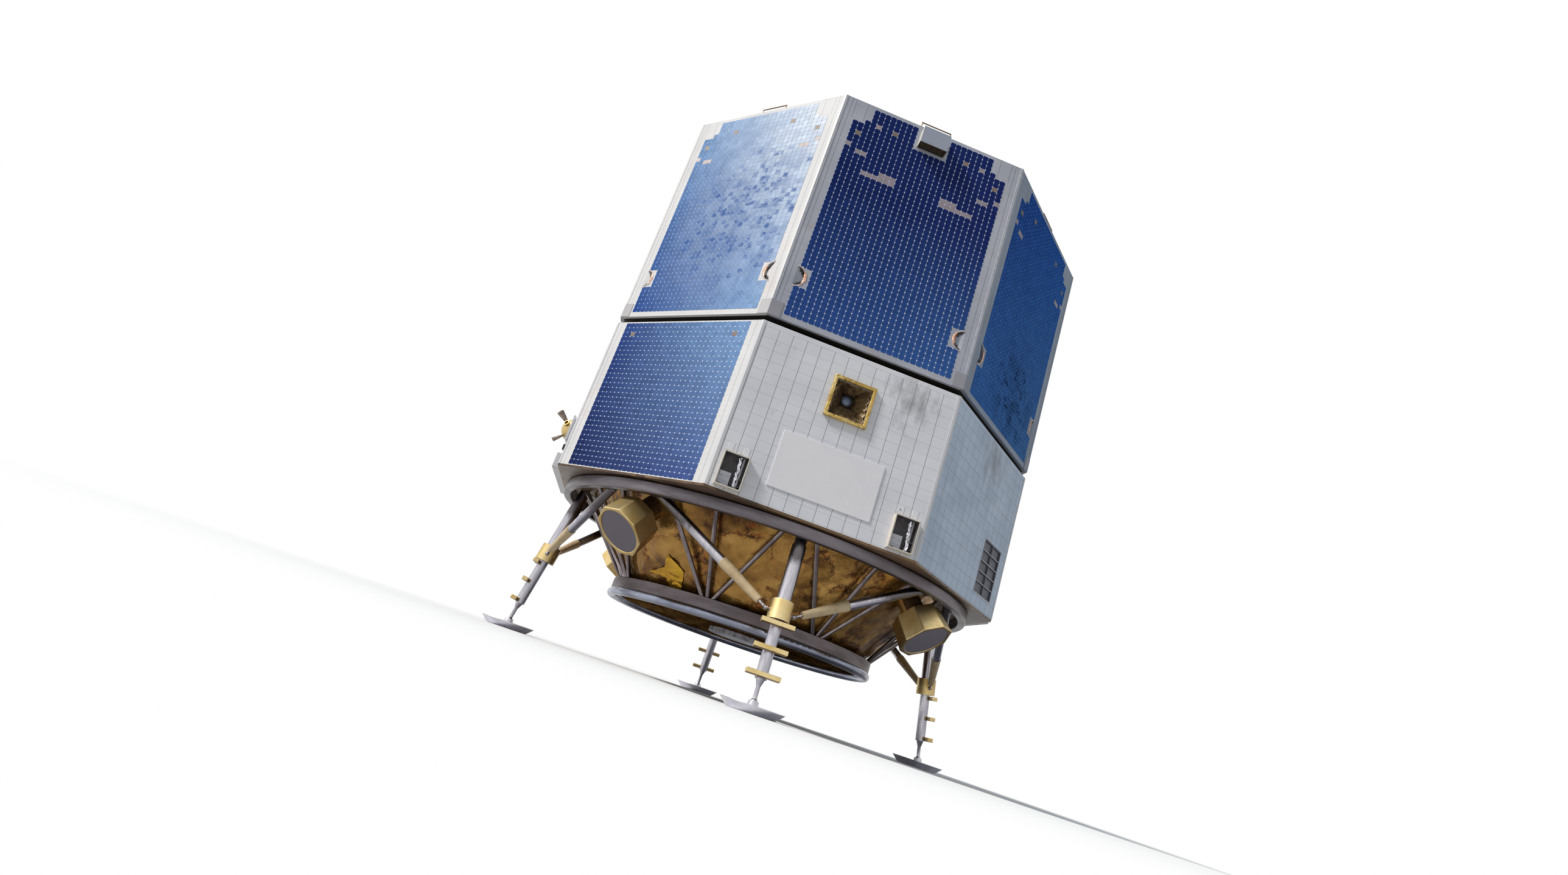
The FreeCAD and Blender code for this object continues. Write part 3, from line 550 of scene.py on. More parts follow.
# Rolled and polished metals: grey-violet rings, brighter tubes, pale gold fittings.
RING_STEEL = Metal("rolled_ring_steel", "ring_steel", "#757075", "#5a5357", 0.36, 400.0,
                   stretch=(1.0, 1.0, 5.0), painted_shade_colour="#403835", painted_shade_share=0.5)
BAND_STEEL = Metal("brushed_band_steel", "ring_steel", "#6c6466", "#585052", 0.4, 300.0,
                   stretch=(1.0, 1.0, 5.0), painted_shade_colour="#463d3c", painted_shade_share=0.5)
RIM_STEEL = Metal("polished_rim_steel", "ring_steel", "#a6abbc", "#7c8092", 0.24, 300.0,
                  painted_shade_colour="#54525c", painted_shade_share=0.7)
TUBE_METAL = Metal("polished_aluminium_tube", "polished_tube", "#a39a9c", "#7d7476", 0.3, 120.0,
                   stretch=(3.0, 3.0, 0.6), painted_shade_colour="#4e4445", painted_shade_share=0.8)
STRUT_METAL = Metal("polished_strut_aluminium", "polished_tube", "#cac8cd", "#a5a2ac", 0.26,
                    90.0, shade_top=0.93, shade_tone="#47403f", stretch=(4.0, 4.0, 0.5),
                    painted_shade_share=0.9)
RAIL_METAL = Metal("hand_rail_bronze", "polished_tube", "#8a7668", "#54473e", 0.4)
GOLD_ANODISED = Metal("pale_gold_anodised_aluminium", "gold_anodised", "#e4cf9a", "#c0a467",
                      0.36, 140.0, painted_shade_colour="#6b4b26", painted_shade_share=0.9)
GOLD_SLEEVE = Paint("tan_wrapped_sleeve", "tan_sleeve", "#ccb590", "#a1865c", 0.45, 60.0, 0.7)
PIN_STEEL = Metal("rod_end_steel", "polished_tube", "#b5b2b6", "#6f6b70", 0.25, 20.0,
                  painted_shade_share=0.6)
DRUM_METAL = Metal("smooth_drum_metal", "drum_metal", "#7d8092", "#5f6271", 0.4, 200.0)
DRUM_SIDE = Metal("rough_drum_side", "drum_metal", "#b2b0b6", "#6d6a70", 0.45, 30.0, 8.0, 0.8)
NOZZLE_METAL = Metal("heat_darkened_nozzle_alloy", "nozzle_metal", "#8d8074", "#4c4340", 0.35,
                     40.0)
PAD_METAL = Metal("bead_blasted_pad_metal", "pad_metal", "#d2d1d8", "#aeadb6", 0.42, 160.0)
LENS = Paint("sensor_lens_glass", "lens_glass", "#8499c0", "#6c80a8", 0.15)
# Metallised polyimide film: amber from behind, crushed into plates and creases.
GOLD_FOIL = Foil("gold_thermal_film", "gold_foil", "#3f210b", "#86602a", "#bd9350", 300.0, 30.0,
                 7.0, 0.26, slope=(0.0, -0.05, 0.6), slope_mid=-0.34, glint_tone="#a45a1a",
                 detail=2.5)
YELLOW_FOIL = Foil("bright_torn_film", "gold_foil", "#9a6f1c", "#bc8e28", "#d8b33c", 260.0, 60.0,
                   3.0, 0.35, glint=0.1)
FRAME_FOIL = Foil("gold_frame_tape", "gold_foil", "#8a6b2c", "#bfa055", "#e0cb8c", 60.0, 16.0,
                  2.0, 0.4, metallic=0.5)
BROWN_FOIL = Foil("brown_thermal_film", "brown_foil", "#2a1c11", "#4f3a26", "#7d6244", 160.0,
                  30.0, 6.0, 0.42, (0.35, 1.0, 1.0), metallic=0.3)
PLATE_FOIL = Foil("streaky_bottom_film", "brown_foil", "#2c1a0c", "#5c4224", "#9a774a", 120.0,
                  26.0, 6.0, 0.45, (1.0, 0.3, 1.0), metallic=0.0)
DARK_FOIL = Foil("dark_pleated_film", "dark_foil", "#241b12", "#6b563c", "#ab9066", 90.0, 20.0,
                 2.0, 0.45, metallic=0.1, glint=0.1)
COPPER_FOIL = Foil("torn_copper_film", "gold_foil", "#7a4430", "#c58a6c", "#e8c0a8", 30.0, 10.0,
                   2.0, 0.35)
SILVER_STRIP = Metal("crumpled_silver_strip", "polished_tube", "#e4e3e8", "#8e8b94", 0.3, 12.0)

# Cells: navy facing the lander's front, with a painted reflection pale towards the top right on the
# sunward side, dusty on the shaded.
FRONT_CELLS = SolarGlass("navy_solar_cells", "solar_panel",
                         ("#2f4e90", "#385e9e", "#182960", "#1d2b66"), "#15244f", odd=0.08,
                         top_at=0.62)
# painted reflection: the cells blend pale towards the top right
LEFT_CELLS = SolarGlass("bloomed_solar_cells", "solar_panel",
                        ("#1d4288", "#87a5cd", "#7698c4", "#e7eef7"), "#3d5f9c",
                        (0.14, 3.1, 1.1), 0.42, wander=0.34)
RIGHT_CELLS = SolarGlass("dusty_solar_cells", "solar_panel",
                         ("#4070b6", "#4a76b0", "#274f9e", "#2f62b2"), "#16284c",
                         (0.1, 2.62, 0.6), 0.42, 0.5, wander=0.3, gloss=0.0)
LOWER_CELLS = SolarGlass("lower_solar_cells", "solar_panel",
                         ("#1c2650", "#42558c", "#2c4480", "#7a9bc4"), "#2c3864",
                         size=(0.574, 1.131, 1.098), pitch=(0.041, 0.0366))
PALE_GRID = CellGrid("lavender_cell_backing", "solar_panel",
                     ("#d5dcf2", "#dde3f6", "#c3cdee", "#cdd6f0"))
BLOOM_GRID = CellGrid("faded_cell_backing", "solar_panel",
                      ("#a4b7e0", "#8c9cbc", "#a3b6d6", "#76859f"))
DUSTY_GRID = CellGrid("navy_cell_backing", "solar_panel",
                      ("#4c7cbc", "#527ebc", "#2f5aa8", "#3d6ebc"))
LOWER_GRID = CellGrid("bright_cell_backing", "solar_panel",
                      ("#a6b2da", "#b6c6e6", "#a2b0da", "#c0d1ee"), (0.574, 1.131, 1.098))
BARE_PATCH = Paint("bare_pink_grey_patch", "solar_panel", "#c9bcba", "#a59591", 0.6, 30.0, 0.7)
MAUVE_PATCH = Paint("bare_mauve_patch", "solar_panel", "#978d95", "#7c6f74", 0.6, 30.0, 0.7)
COUPON = Paint("brown_coupon", "solar_panel", "#817169", "#4b3f39", 0.6, 14.0, 0.8)
# the pale coupon is painted sunlit for the front-left; the dark one is painted shaded for the
# front-right and copied onto the back-left
PALE_COUPON = Paint("coupon_painted_sunlit", "solar_panel", "#9d8e7f", "#5d4f46", 0.6, 14.0, 0.8)
DARK_COUPON = Paint("dark_coupon", "solar_panel", "#504b4a", "#2b2726", 0.6, 14.0, 0.8)


# ------------------------------------------------------------------ shapes
def on_side(side: int) -> Matrix:
    """Return the frame of a flat side: x along it, y up from the floor, z out of it."""
    turn = math.radians(-90.0 + 45.0 * side)
    out = Vector((math.cos(turn), math.sin(turn), 0.0))
    basis = Matrix((Vector((-out.y, out.x, 0.0)), Vector(UP), out)).transposed().to_4x4()
    return Matrix.Translation(out * APOTHEM) @ basis


def side_place(point: Vector) -> tuple[int, Vector]:
    """Return the flat side nearest a point, and the point in that side's frame."""
    turn = math.degrees(math.atan2(point.y, point.x))
    side = round((turn + 90.0) / 45.0) % FACES
    return side, on_side(side).inverted() @ point


def by_key_light(face: Face) -> int:
    """Painted light: the paler copy (1) on the sunward sides, the darker copy (2) on the shaded
    front-right side and grey (0) between.
    """
    return (0, 2, 0, 0, 0, 0, 1, 1)[side_place(face.calc_center_median())[0]]


def plain(face: Face) -> int:
    """One finish for every face."""
    return 0


def mesh_of(name: str, bm: BMesh) -> bpy.types.Mesh:
    """Return a mesh made from a bmesh, which is freed."""
    mesh = bpy.data.meshes.new(name)
    bm.to_mesh(mesh)
    bm.free()
    return mesh


def stand(name: str, data: bpy.types.ID) -> bpy.types.Object:
    """Return a new object in the scene."""
    made = bpy.data.objects.new(name, data)
    bpy.context.scene.collection.objects.link(made)
    return made


def piece(name: str, bm: BMesh, finishes: list[Finish], smooth_angle: float = 35.0,
          body: str = LANDER, side: int | None = None) -> bpy.types.Object:
    """Turn a finished bmesh, which is freed, into an object that rides on a body.

    Args:
        name: The piece's name.
        bm: Its shape, in the lander's frame or a flat side's.
        finishes: Its finishes, in the order of its material numbers.
        smooth_angle: Edges flatter than this are shaded smooth.
        body: The CAD body that it moves with.
        side: The flat side whose frame the shape is in, if any.

    Returns:
        The new object.
    """
    if side is not None:
        bmesh.ops.transform(bm, matrix=on_side(side), verts=bm.verts)
    mesh = mesh_of(name, bm)
    mesh.shade_smooth()
    mesh.set_sharp_from_angle(angle=math.radians(smooth_angle))
    for finish in finishes:
        mesh.materials.append(finish.material())
    made = stand(name, mesh)
    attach(made, body)
    LOG.info("piece %s: %d faces on %s", name, len(mesh.polygons), body)
    return made


def merged_copy(name: str) -> BMesh:
    """Return a CAD node's shape as clean joined faces."""
    bm = bmesh.new()
    bm.from_mesh(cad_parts[name].data)
    bmesh.ops.remove_doubles(bm, verts=bm.verts, dist=0.02 * MM)
    bmesh.ops.dissolve_limit(bm, angle_limit=math.radians(0.4), verts=bm.verts, edges=bm.edges,
                             delimit=set())
    return bm


def ease_edges(target: bpy.types.Object, width: float, segments: int = 2,
               angle: float = 32.0) -> None:
    """Round a piece's sharp edges with a bevel that keeps its flats flat."""
    bevel = target.modifiers.new("edges", "BEVEL")
    bevel.width = width
    bevel.segments = segments
    bevel.limit_method = "ANGLE"
    bevel.angle_limit = math.radians(angle)
    bevel.harden_normals = True
    bevel.use_clamp_overlap = True


def thicken(film: bpy.types.Object, thickness: float, offset: float = -1.0) -> None:
    """Give a sheet of film its thickness."""
    wall = film.modifiers.new("wall", "SOLIDIFY")
    wall.thickness = thickness
    wall.offset = offset


def rounded_node(name: str, finishes: list[Finish], width: float, segments: int = 2,
                 body: str = LANDER, choose: Callable[[Face], int] = plain) -> None:
    """Stand a round-edged piece in for a CAD node.

    Args:
        name: The CAD node.
        finishes: Its finishes, in the order that choose counts them.
        width: Width of the rounded edges.
        segments: Steps across each rounded edge.
        body: The CAD body that it moves with.
        choose: Gives a face's finish number.
    """
    bm = merged_copy(name)
    for face in bm.faces:
        face.material_index = choose(face)
    made = piece(name + "_rounded", bm, finishes, body=body)
    ease_edges(made, width, segments)
    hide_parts(name)


def dress(finish: Finish, *names: str) -> None:
    """Give CAD nodes their finish."""
    for name in names:
        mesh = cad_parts[name].data
        mesh.materials.clear()
        mesh.materials.append(finish.material())


def mark(verts: Iterable[bmesh.types.BMVert], finish: int) -> None:
    """Give the faces round some vertices a finish number."""
    for face in {f for v in verts for f in v.link_faces}:
        face.material_index = finish


def add_block(bm: BMesh, middle: Triple, size: Triple, finish: int = 0) -> None:
    """Add a rectangular block with a finish number."""
    place = Matrix.Translation(middle) @ Matrix.Diagonal((*size, 1.0))
    mark(bmesh.ops.create_cube(bm, size=1.0, matrix=place)["verts"], finish)


def add_stud(bm: BMesh, foot: Triple, radius: float, height: float, sides: int = 8) -> None:
    """Add a small round stud that stands along z, a little narrower at its top."""
    place = Matrix.Translation(Vector(foot) + Vector((0.0, 0.0, height / 2.0)))
    verts = bmesh.ops.create_cone(bm, cap_ends=True, segments=sides, radius1=radius,
                                  radius2=radius * 0.8, depth=height, matrix=place)["verts"]
    mark(verts, 1)


def add_grid(bm: BMesh, columns: int, rows: int) -> list[bmesh.types.BMVert]:
    """Add a flat grid of unit size and return its vertices."""
    return bmesh.ops.create_grid(bm, x_segments=columns, y_segments=rows, size=0.5)["verts"]


def spun(ends: tuple, steps: int, turns: int) -> BMesh:
    """Return a line between two ends, each a radius and a height, spun round the upright axis."""
    bm = bmesh.new()
    line = bm.edges.new([bm.verts.new((radius, 0.0, height)) for radius, height in ends])
    bmesh.ops.subdivide_edges(bm, edges=[line], cuts=steps - 1)
    bmesh.ops.spin(bm, geom=list(bm.verts) + list(bm.edges), cent=(0.0, 0.0, 0.0), axis=UP,
                   angle=math.tau, steps=turns, use_merge=True)
    return bm


def crease(point: Vector, plate: float) -> float:
    """Height of crushed film: rounded plates between sharp creases, from -1 to 1."""
    push = noise.noise_vector(point * (0.9 / plate)) * (plate * 0.35)
    near, far = noise.voronoi((point + push) / plate)[0][:2]
    fine = noise.voronoi((point - push * 0.7) * (2.7 / plate))[0]
    ridge = min(far - near, 0.45) / 0.45
    small = min(fine[1] - fine[0], 0.4) / 0.4
    roll = noise.noise(point * (1.3 / plate))
    return 0.62 * ridge + 0.22 * small + 0.5 * roll - 0.5


class Cell(Enum):
    """What stands at one place of a panel's grid."""

    GLASS = 0
    BACKING = 1
    BARE = 2
    COUPON = 3
    NONE = 4


@dataclass
class SolarPanel:
    """A field of solar cells on one side of the lander."""

    side: Side
    glass: Finish
    backing: Finish
    bare: Finish = MAUVE_PATCH
    coupon: Finish = COUPON
    upper: bool = True
    columns: int = 28
    gap: tuple[float, float] = (0.0021, 0.0009)
    clip: float = 0.0052
    thickness: float = 0.0009
    lift: float = 0.0004

    def kind(self, column: int, row: int) -> Cell:
        """Say what stands at a column, and at a row counted from the top."""
        inset = min(column, self.columns - 1 - column)
        if not self.upper:
            return Cell.COUPON if (row, inset) == (2, 2) else Cell.GLASS
        over_leg = self.side.value % 2 == 0
        if (row < 3 and inset < 3) or (row == 3 and inset < 2):
            return Cell.NONE
        if (over_leg and row < 5 and inset > 10) or (38 <= row < 42 and inset < 2):
            return Cell.NONE
        if (row, inset) in ((3, 7), (6, 1)):
            return Cell.COUPON
        if (row, inset) in ((9, 0), (10, 2), (10, 3)):
            return Cell.BARE
        strip = (row, inset) == (3, 4) or (row == 13 and 7 <= inset <= 9)
        if over_leg and (strip or (row == 14 and 4 <= inset <= 9)):
            return Cell.BARE
        return Cell.GLASS

    def build(self) -> None:
        """Make the cells, the backing between them and the bare places."""
        rows, bottom = (48, 2.323) if self.upper else (30, 1.131)
        pitch = Vector((1.152, 1.6995) if self.upper else (1.148, 1.098))
        pitch = Vector((pitch.x / self.columns, pitch.y / rows))
        bm = bmesh.new()
        add_grid(bm, self.columns, rows)
        bmesh.ops.scale(bm, vec=(pitch.x * self.columns, pitch.y * rows, 1.0), verts=bm.verts)
        bmesh.ops.translate(bm, vec=(0.0, bottom + pitch.y * rows / 2.0, self.lift),
                            verts=bm.verts)
        empty = []
        for face in bm.faces:
            middle = face.calc_center_median()
            kind = self.kind(int((middle.x + pitch.x * self.columns / 2.0) / pitch.x),
                             rows - 1 - int((middle.y - bottom) / pitch.y))
            face.material_index = kind.value % Cell.NONE.value
            if kind is Cell.NONE:
                empty.append(face)
        bmesh.ops.delete(bm, geom=empty, context="FACES")
        grown = bmesh.ops.duplicate(bm, geom=list(bm.faces))
        plates = [f for f in grown["geom"] if isinstance(f, Face)]
        for face in set(bm.faces) - set(plates):
            face.material_index = Cell.BACKING.value
        bmesh.ops.split_edges(bm, edges=list({e for f in plates for e in f.edges}))
        shrink = Vector((1.0 - self.gap[0] / pitch.x, 1.0 - self.gap[1] / pitch.y, 1.0))
        for face in plates:
            middle = face.calc_center_median()
            for vert in face.verts:
                vert.co = middle + (vert.co - middle) * shrink
        bmesh.ops.bevel(bm, geom=list({v for f in plates for v in f.verts}), offset=self.clip,
                        affect="VERTICES", segments=1, profile=0.5, material=-1)
        plates = [f for f in bm.faces if len(f.verts) == 8]
        raised = bmesh.ops.extrude_discrete_faces(bm, faces=plates)["faces"]
        bmesh.ops.translate(bm, vec=(0.0, 0.0, self.thickness),
                            verts=list({v for f in raised for v in f.verts}))
        chart = bm.loops.layers.uv.new("panel")
        for face in bm.faces:
            for loop in face.loops:
                loop[chart].uv = (loop.vert.co.x, loop.vert.co.y)
        level = "upper" if self.upper else "lower"
        piece(f"solar_cells_{level}_{self.side.name.lower()}", bm,
              [self.glass, self.backing, self.bare, self.coupon], 10.0, side=self.side.value)


@dataclass
class UpperBody:
    """The upper body: solar panels, corner trims and covers, top deck and its fittings."""

    box_half: float = 0.095
    box_top: float = 3.93

    def build(self) -> None:
        """Dress the panels and add their cells."""
        # painted light: on the front-left the skin and coupon are pale, painted-sunlit copies and
        # the cells carry a painted reflection; in the shaded set the skin and coupon are darker,
        # painted-shade copies, used on the front-right and copied onto the back-left
        shaded = (SLATE_SKIN, RIGHT_CELLS, DUSTY_GRID, MAUVE_PATCH, DARK_COUPON)
        looks = {Side.FRONT_LEFT: (PALE_SKIN, LEFT_CELLS, BLOOM_GRID, BARE_PATCH, PALE_COUPON),
                 Side.FRONT_RIGHT: shaded, Side.BACK_LEFT: shaded}
        usual = (GREY_SKIN, FRONT_CELLS, PALE_GRID, MAUVE_PATCH, COUPON)
        for side in Side:
            skin, *cells = looks.get(side, usual)
            dress(skin, "upper_panel_" + side.name.lower())
            SolarPanel(side, *cells).build()
        # the neck is painted near black: painted shade for the deep band between the two bodies
        dress(DARK_STRUCTURE, "upper_core", "neck")
        dress(GREY_COVER, "top_deck")
        rounded_node("upper_corner_covers", [GREY_COVER, SUNLIT_COVER, SHADED_COVER], 0.003,
                     choose=by_key_light)
        rounded_node("upper_corner_trims", [GREY_TRIM, SUNLIT_TRIM, SHADED_TRIM], 0.002,
                     choose=by_key_light)
        rounded_node("sensor_boxes", [BOX_SIDE, BOX_FACE, CRATE_FLOOR], 0.0025,
                     choose=self.box_finish)
        rounded_node("sensor_louvres", [LOUVRE_BROWN], 0.001)
        EdgePockets().build()
        dress(RAIL_METAL, "hand_rail_bars", "hand_rail_posts")

    def box_finish(self, face: Face) -> int:
        """Slate on a sensor box's front, olive brown inside it and cream elsewhere."""
        side, place = side_place(face.calc_center_median())
        out = on_side(side).to_3x3().inverted() @ face.normal
        if out.z > 0.9 and place.z > 0.07:
            return 1
        inside = abs(place.x) < self.box_half and 0.001 < place.z < 0.072
        return 2 if inside and place.y < self.box_top else 0


class Strip(Enum):
    """The strips along a torn pocket's arc, numbered as their finishes are."""

    GAP = 0
    FILM = 1
    RIM = 2


@dataclass
class EdgePockets:
    """Torn half-round pockets in the borders: dark sheets of painted shadow, copper film and ragged
    pale edges.
    """

    along: float = 0.590
    height: float = 2.606
    radius: float = 0.069
    depth: float = 0.020
    # the width of the dark sheet of painted shadow inside each arc
    gap: float = 0.021
    spans: tuple = ((Strip.GAP, 12.0, 84.0), (Strip.GAP, -84.0, -14.0),
                    (Strip.FILM, -40.0, 42.0), (Strip.RIM, -88.0, 88.0))

    def build(self) -> None:
        """Make both pockets of all eight sides."""
        bm = bmesh.new()
        for side in range(FACES):
            for hand in (-1, 1):
                part = bmesh.new()
                for strip, low, high in self.spans:
                    self.band(part, hand, side, (low, high), strip)
                bmesh.ops.transform(part, matrix=on_side(side), verts=part.verts)
                mesh = mesh_of("pocket", part)
                bm.from_mesh(mesh)
                bpy.data.meshes.remove(mesh)
        # the black sheets inside the arcs are painted shadow
        made = piece("torn_pocket_edges", bm, [BLACK_OXIDE, COPPER_FOIL, BARE_PATCH], 50.0)
        thicken(made, 0.0006)

    def band(self, bm: BMesh, hand: int, side: int, span: tuple[float, float],
             strip: Strip) -> None:
        """Add one ragged strip along a pocket's arc.

        Args:
            bm: The shape that it joins.
            hand: Which border: -1 on the left and 1 on the right.
            side: The lander's side, which sets the tear.
            span: First and last angle along the arc.
            strip: Dark sheet of painted shadow inside the arc, film on it or rim outside it.
        """
        grid = add_grid(bm, 26, 3)
        for vert in grid:
            share = vert.co.x + 0.5
            turn = math.radians(span[0] + share * (span[1] - span[0]))
            seed = Vector((turn * 4.0 + 9.0 * side, hand * 5.0, (strip.value - 1.0) * 3.0))
            tear = noise.noise(seed * 2.3) * 0.6 + noise.noise(seed * 6.0) * 0.35
            swell = math.sin(math.pi * share) ** 0.6
            # a dark sheet of painted shadow inside the arc, lying on the pocket's slope
            if strip is Strip.GAP:
                reach = self.radius - 0.001 - (0.5 - vert.co.y) * self.gap * swell * (1.0 + tear)
                lift = 0.0012 - self.depth * max(0.0, reach * math.cos(turn)) / self.radius
            elif strip is Strip.FILM:
                reach = self.radius + (vert.co.y - 0.1) * 0.017 * swell * (1.0 + 0.8 * tear)
                lift = 0.0022 + 0.002 * tear
            else:
                reach = self.radius + (vert.co.y + 0.5) * 0.012 * (0.8 + tear)
                lift = 0.0013 + 0.0006 * tear
            vert.co = Vector((hand * (self.along - reach * math.cos(turn)),
                              self.height + reach * math.sin(turn), lift))
        mark(grid, strip.value)


@dataclass
class LowerBody:
    """The lower body: tiled and solar sides, window, blank plate, boxes and grille."""

    dome_out: float = 0.1125

    def build(self) -> None:
        """Dress the sides and add the lower solar cells."""
        dress(DARK_STRUCTURE, "lower_core")
        dress(WHITE_TILES, "lower_front_panel")
        dress(SIDE_TILES, "lower_side_panels")
        dress(RADIATOR_TILES, "lower_radiator_panels")
        dress(PALE_SKIN, "lower_solar_panels")
        for side in (Side.FRONT_LEFT, Side.BACK_RIGHT):
            SolarPanel(side, LOWER_CELLS, LOWER_GRID, upper=False,
                       gap=(0.0017, 0.0015)).build()
        rounded_node("lower_corner_trims", [WHITE_TRIM], 0.002)
        rounded_node("blank_plate", [BLANK_PAINT], 0.0015)
        Window().build()
        EquipmentBoxes().build()
        Grille().build()
        rounded_node("side_pallets", [WHITE_TRIM], 0.004)
        rounded_node("side_blocks", [DARK_STRUCTURE], 0.003)
        rounded_node("thruster_pods", [GOLD_ANODISED, WHITE_TRIM], 0.002,
                     choose=self.pod_finish)
        dress(NOZZLE_METAL, "thruster_nozzles")

    def pod_finish(self, face: Face) -> int:
        """White on a thruster's stand and mounting plate, and gold on its dome."""
        return 0 if side_place(face.calc_center_median())[1].z > self.dome_out else 1


@dataclass
class Window:
    """The square window: a taped frame, a pleated funnel and a small lens."""

    width: float = 0.236
    end: float = 0.084
    depth: float = 0.140
    rise: float = 0.050
    height: float = 1.927
    pleats: int = 5

    def build(self) -> None:
        """Make the frame, funnel and lens."""
        self.frame()
        self.funnel()
        self.lens()

    def frame(self) -> None:
        """A frame wrapped in creased gold tape."""
        bm = merged_copy("window_frame")
        bmesh.ops.bevel(bm, geom=list(bm.edges), offset=0.004, affect="EDGES", segments=2,
                        profile=0.5, material=-1)
        long = [e for e in bm.edges if e.calc_length() > 0.03]
        bmesh.ops.subdivide_edges(bm, edges=long, cuts=22, use_grid_fill=True)
        bmesh.ops.triangulate(bm, faces=[f for f in bm.faces if len(f.verts) > 4])
        bm.normal_update()
        for vert in bm.verts:
            if vert.co.y < -APOTHEM - 0.002:
                vert.co += vert.normal * (noise.noise(vert.co * 55.0) * 0.0016
                                          + noise.noise(vert.co * 140.0) * 0.0010)
        made = piece("window_frame_tape", bm, [FRAME_FOIL], 60.0)
        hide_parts("window_frame")

    def funnel(self) -> None:
        """Four pleated walls that narrow to the lens, and the plate round the lens."""
        bm = bmesh.new()
        for wall in range(4):
            part = add_grid(bm, self.pleats * 4, 10)
            for vert in part:
                share, deep = vert.co.x, vert.co.y + 0.5
                half = 0.5 * (self.width + (self.end - self.width) * deep) - 0.001
                loose = 0.4 * noise.noise(Vector((share * 2.5, wall * 3.0, 1.0)))
                fold = abs(((share + 0.5 + 0.1 * loose) * self.pleats) % 1.0 - 0.5) * 2.0
                lift = fold ** 2 * 0.013 * (1.0 - 0.6 * deep) * (1.0 + loose)
                lift += 0.002 * noise.noise(Vector((share * 9.0 + wall * 3.0, deep * 5.0, 0.0)))
                lift *= min(1.0, (0.5 - abs(share)) * 12.0)
                vert.co = Vector((share * 2.0 * half, -half + lift, -deep * self.depth))
            bmesh.ops.rotate(bm, matrix=Matrix.Rotation(math.radians(90.0 * wall), 3, "Z"),
                             verts=part)
        bmesh.ops.remove_doubles(bm, verts=bm.verts, dist=0.0002)
        for vert in bm.verts:
            vert.co.y += self.height - self.rise * vert.co.z / self.depth
        made = piece("pleated_funnel", bm, [DARK_FOIL], 25.0, side=0)
        thicken(made, 0.0008, 0.0)
        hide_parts("window_funnel")

    def lens(self) -> None:
        """A domed lens in a dark bezel."""
        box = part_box("window_lens")
        radius = (box[1].x - box[0].x) / 2.0
        bm = bmesh.new()
        dome = bmesh.ops.create_uvsphere(bm, u_segments=32, v_segments=16, radius=radius)["verts"]
        bmesh.ops.scale(bm, vec=(1.0, 1.0, 0.3), verts=dome)
        bmesh.ops.bisect_plane(bm, geom=list(bm.verts) + list(bm.edges) + list(bm.faces),
                               plane_co=(0.0, 0.0, 0.0), plane_no=UP, clear_inner=True)
        bmesh.ops.holes_fill(bm, edges=[e for e in bm.edges if e.is_boundary])
        for high, wide in ((0.006, 1.32), (0.009, 1.18)):
            ring = bmesh.ops.create_circle(bm, segments=40, radius=radius * wide)["verts"]
            rim = bmesh.ops.extrude_edge_only(bm, edges=list({e for v in ring
                                                              for e in v.link_edges}))
            top = [v for v in rim["geom"] if isinstance(v, bmesh.types.BMVert)]
            bmesh.ops.translate(bm, vec=(0.0, 0.0, high), verts=top)
            lip = bmesh.ops.extrude_edge_only(bm, edges=[e for e in rim["geom"]
                                                         if isinstance(e, bmesh.types.BMEdge)])
            inner = [v for v in lip["geom"] if isinstance(v, bmesh.types.BMVert)]
            bmesh.ops.scale(bm, vec=(0.985 / wide, 0.985 / wide, 1.0), verts=inner)
            mark(list(ring) + top + inner, 1)
        bmesh.ops.recalc_face_normals(bm, faces=bm.faces)
        middle = self.height + self.rise
        bmesh.ops.translate(bm, vec=(0.0, middle, -self.depth - 0.001), verts=bm.verts)
        piece("lens_dome", bm, [LENS, BLACK_OXIDE], 40.0, side=0)


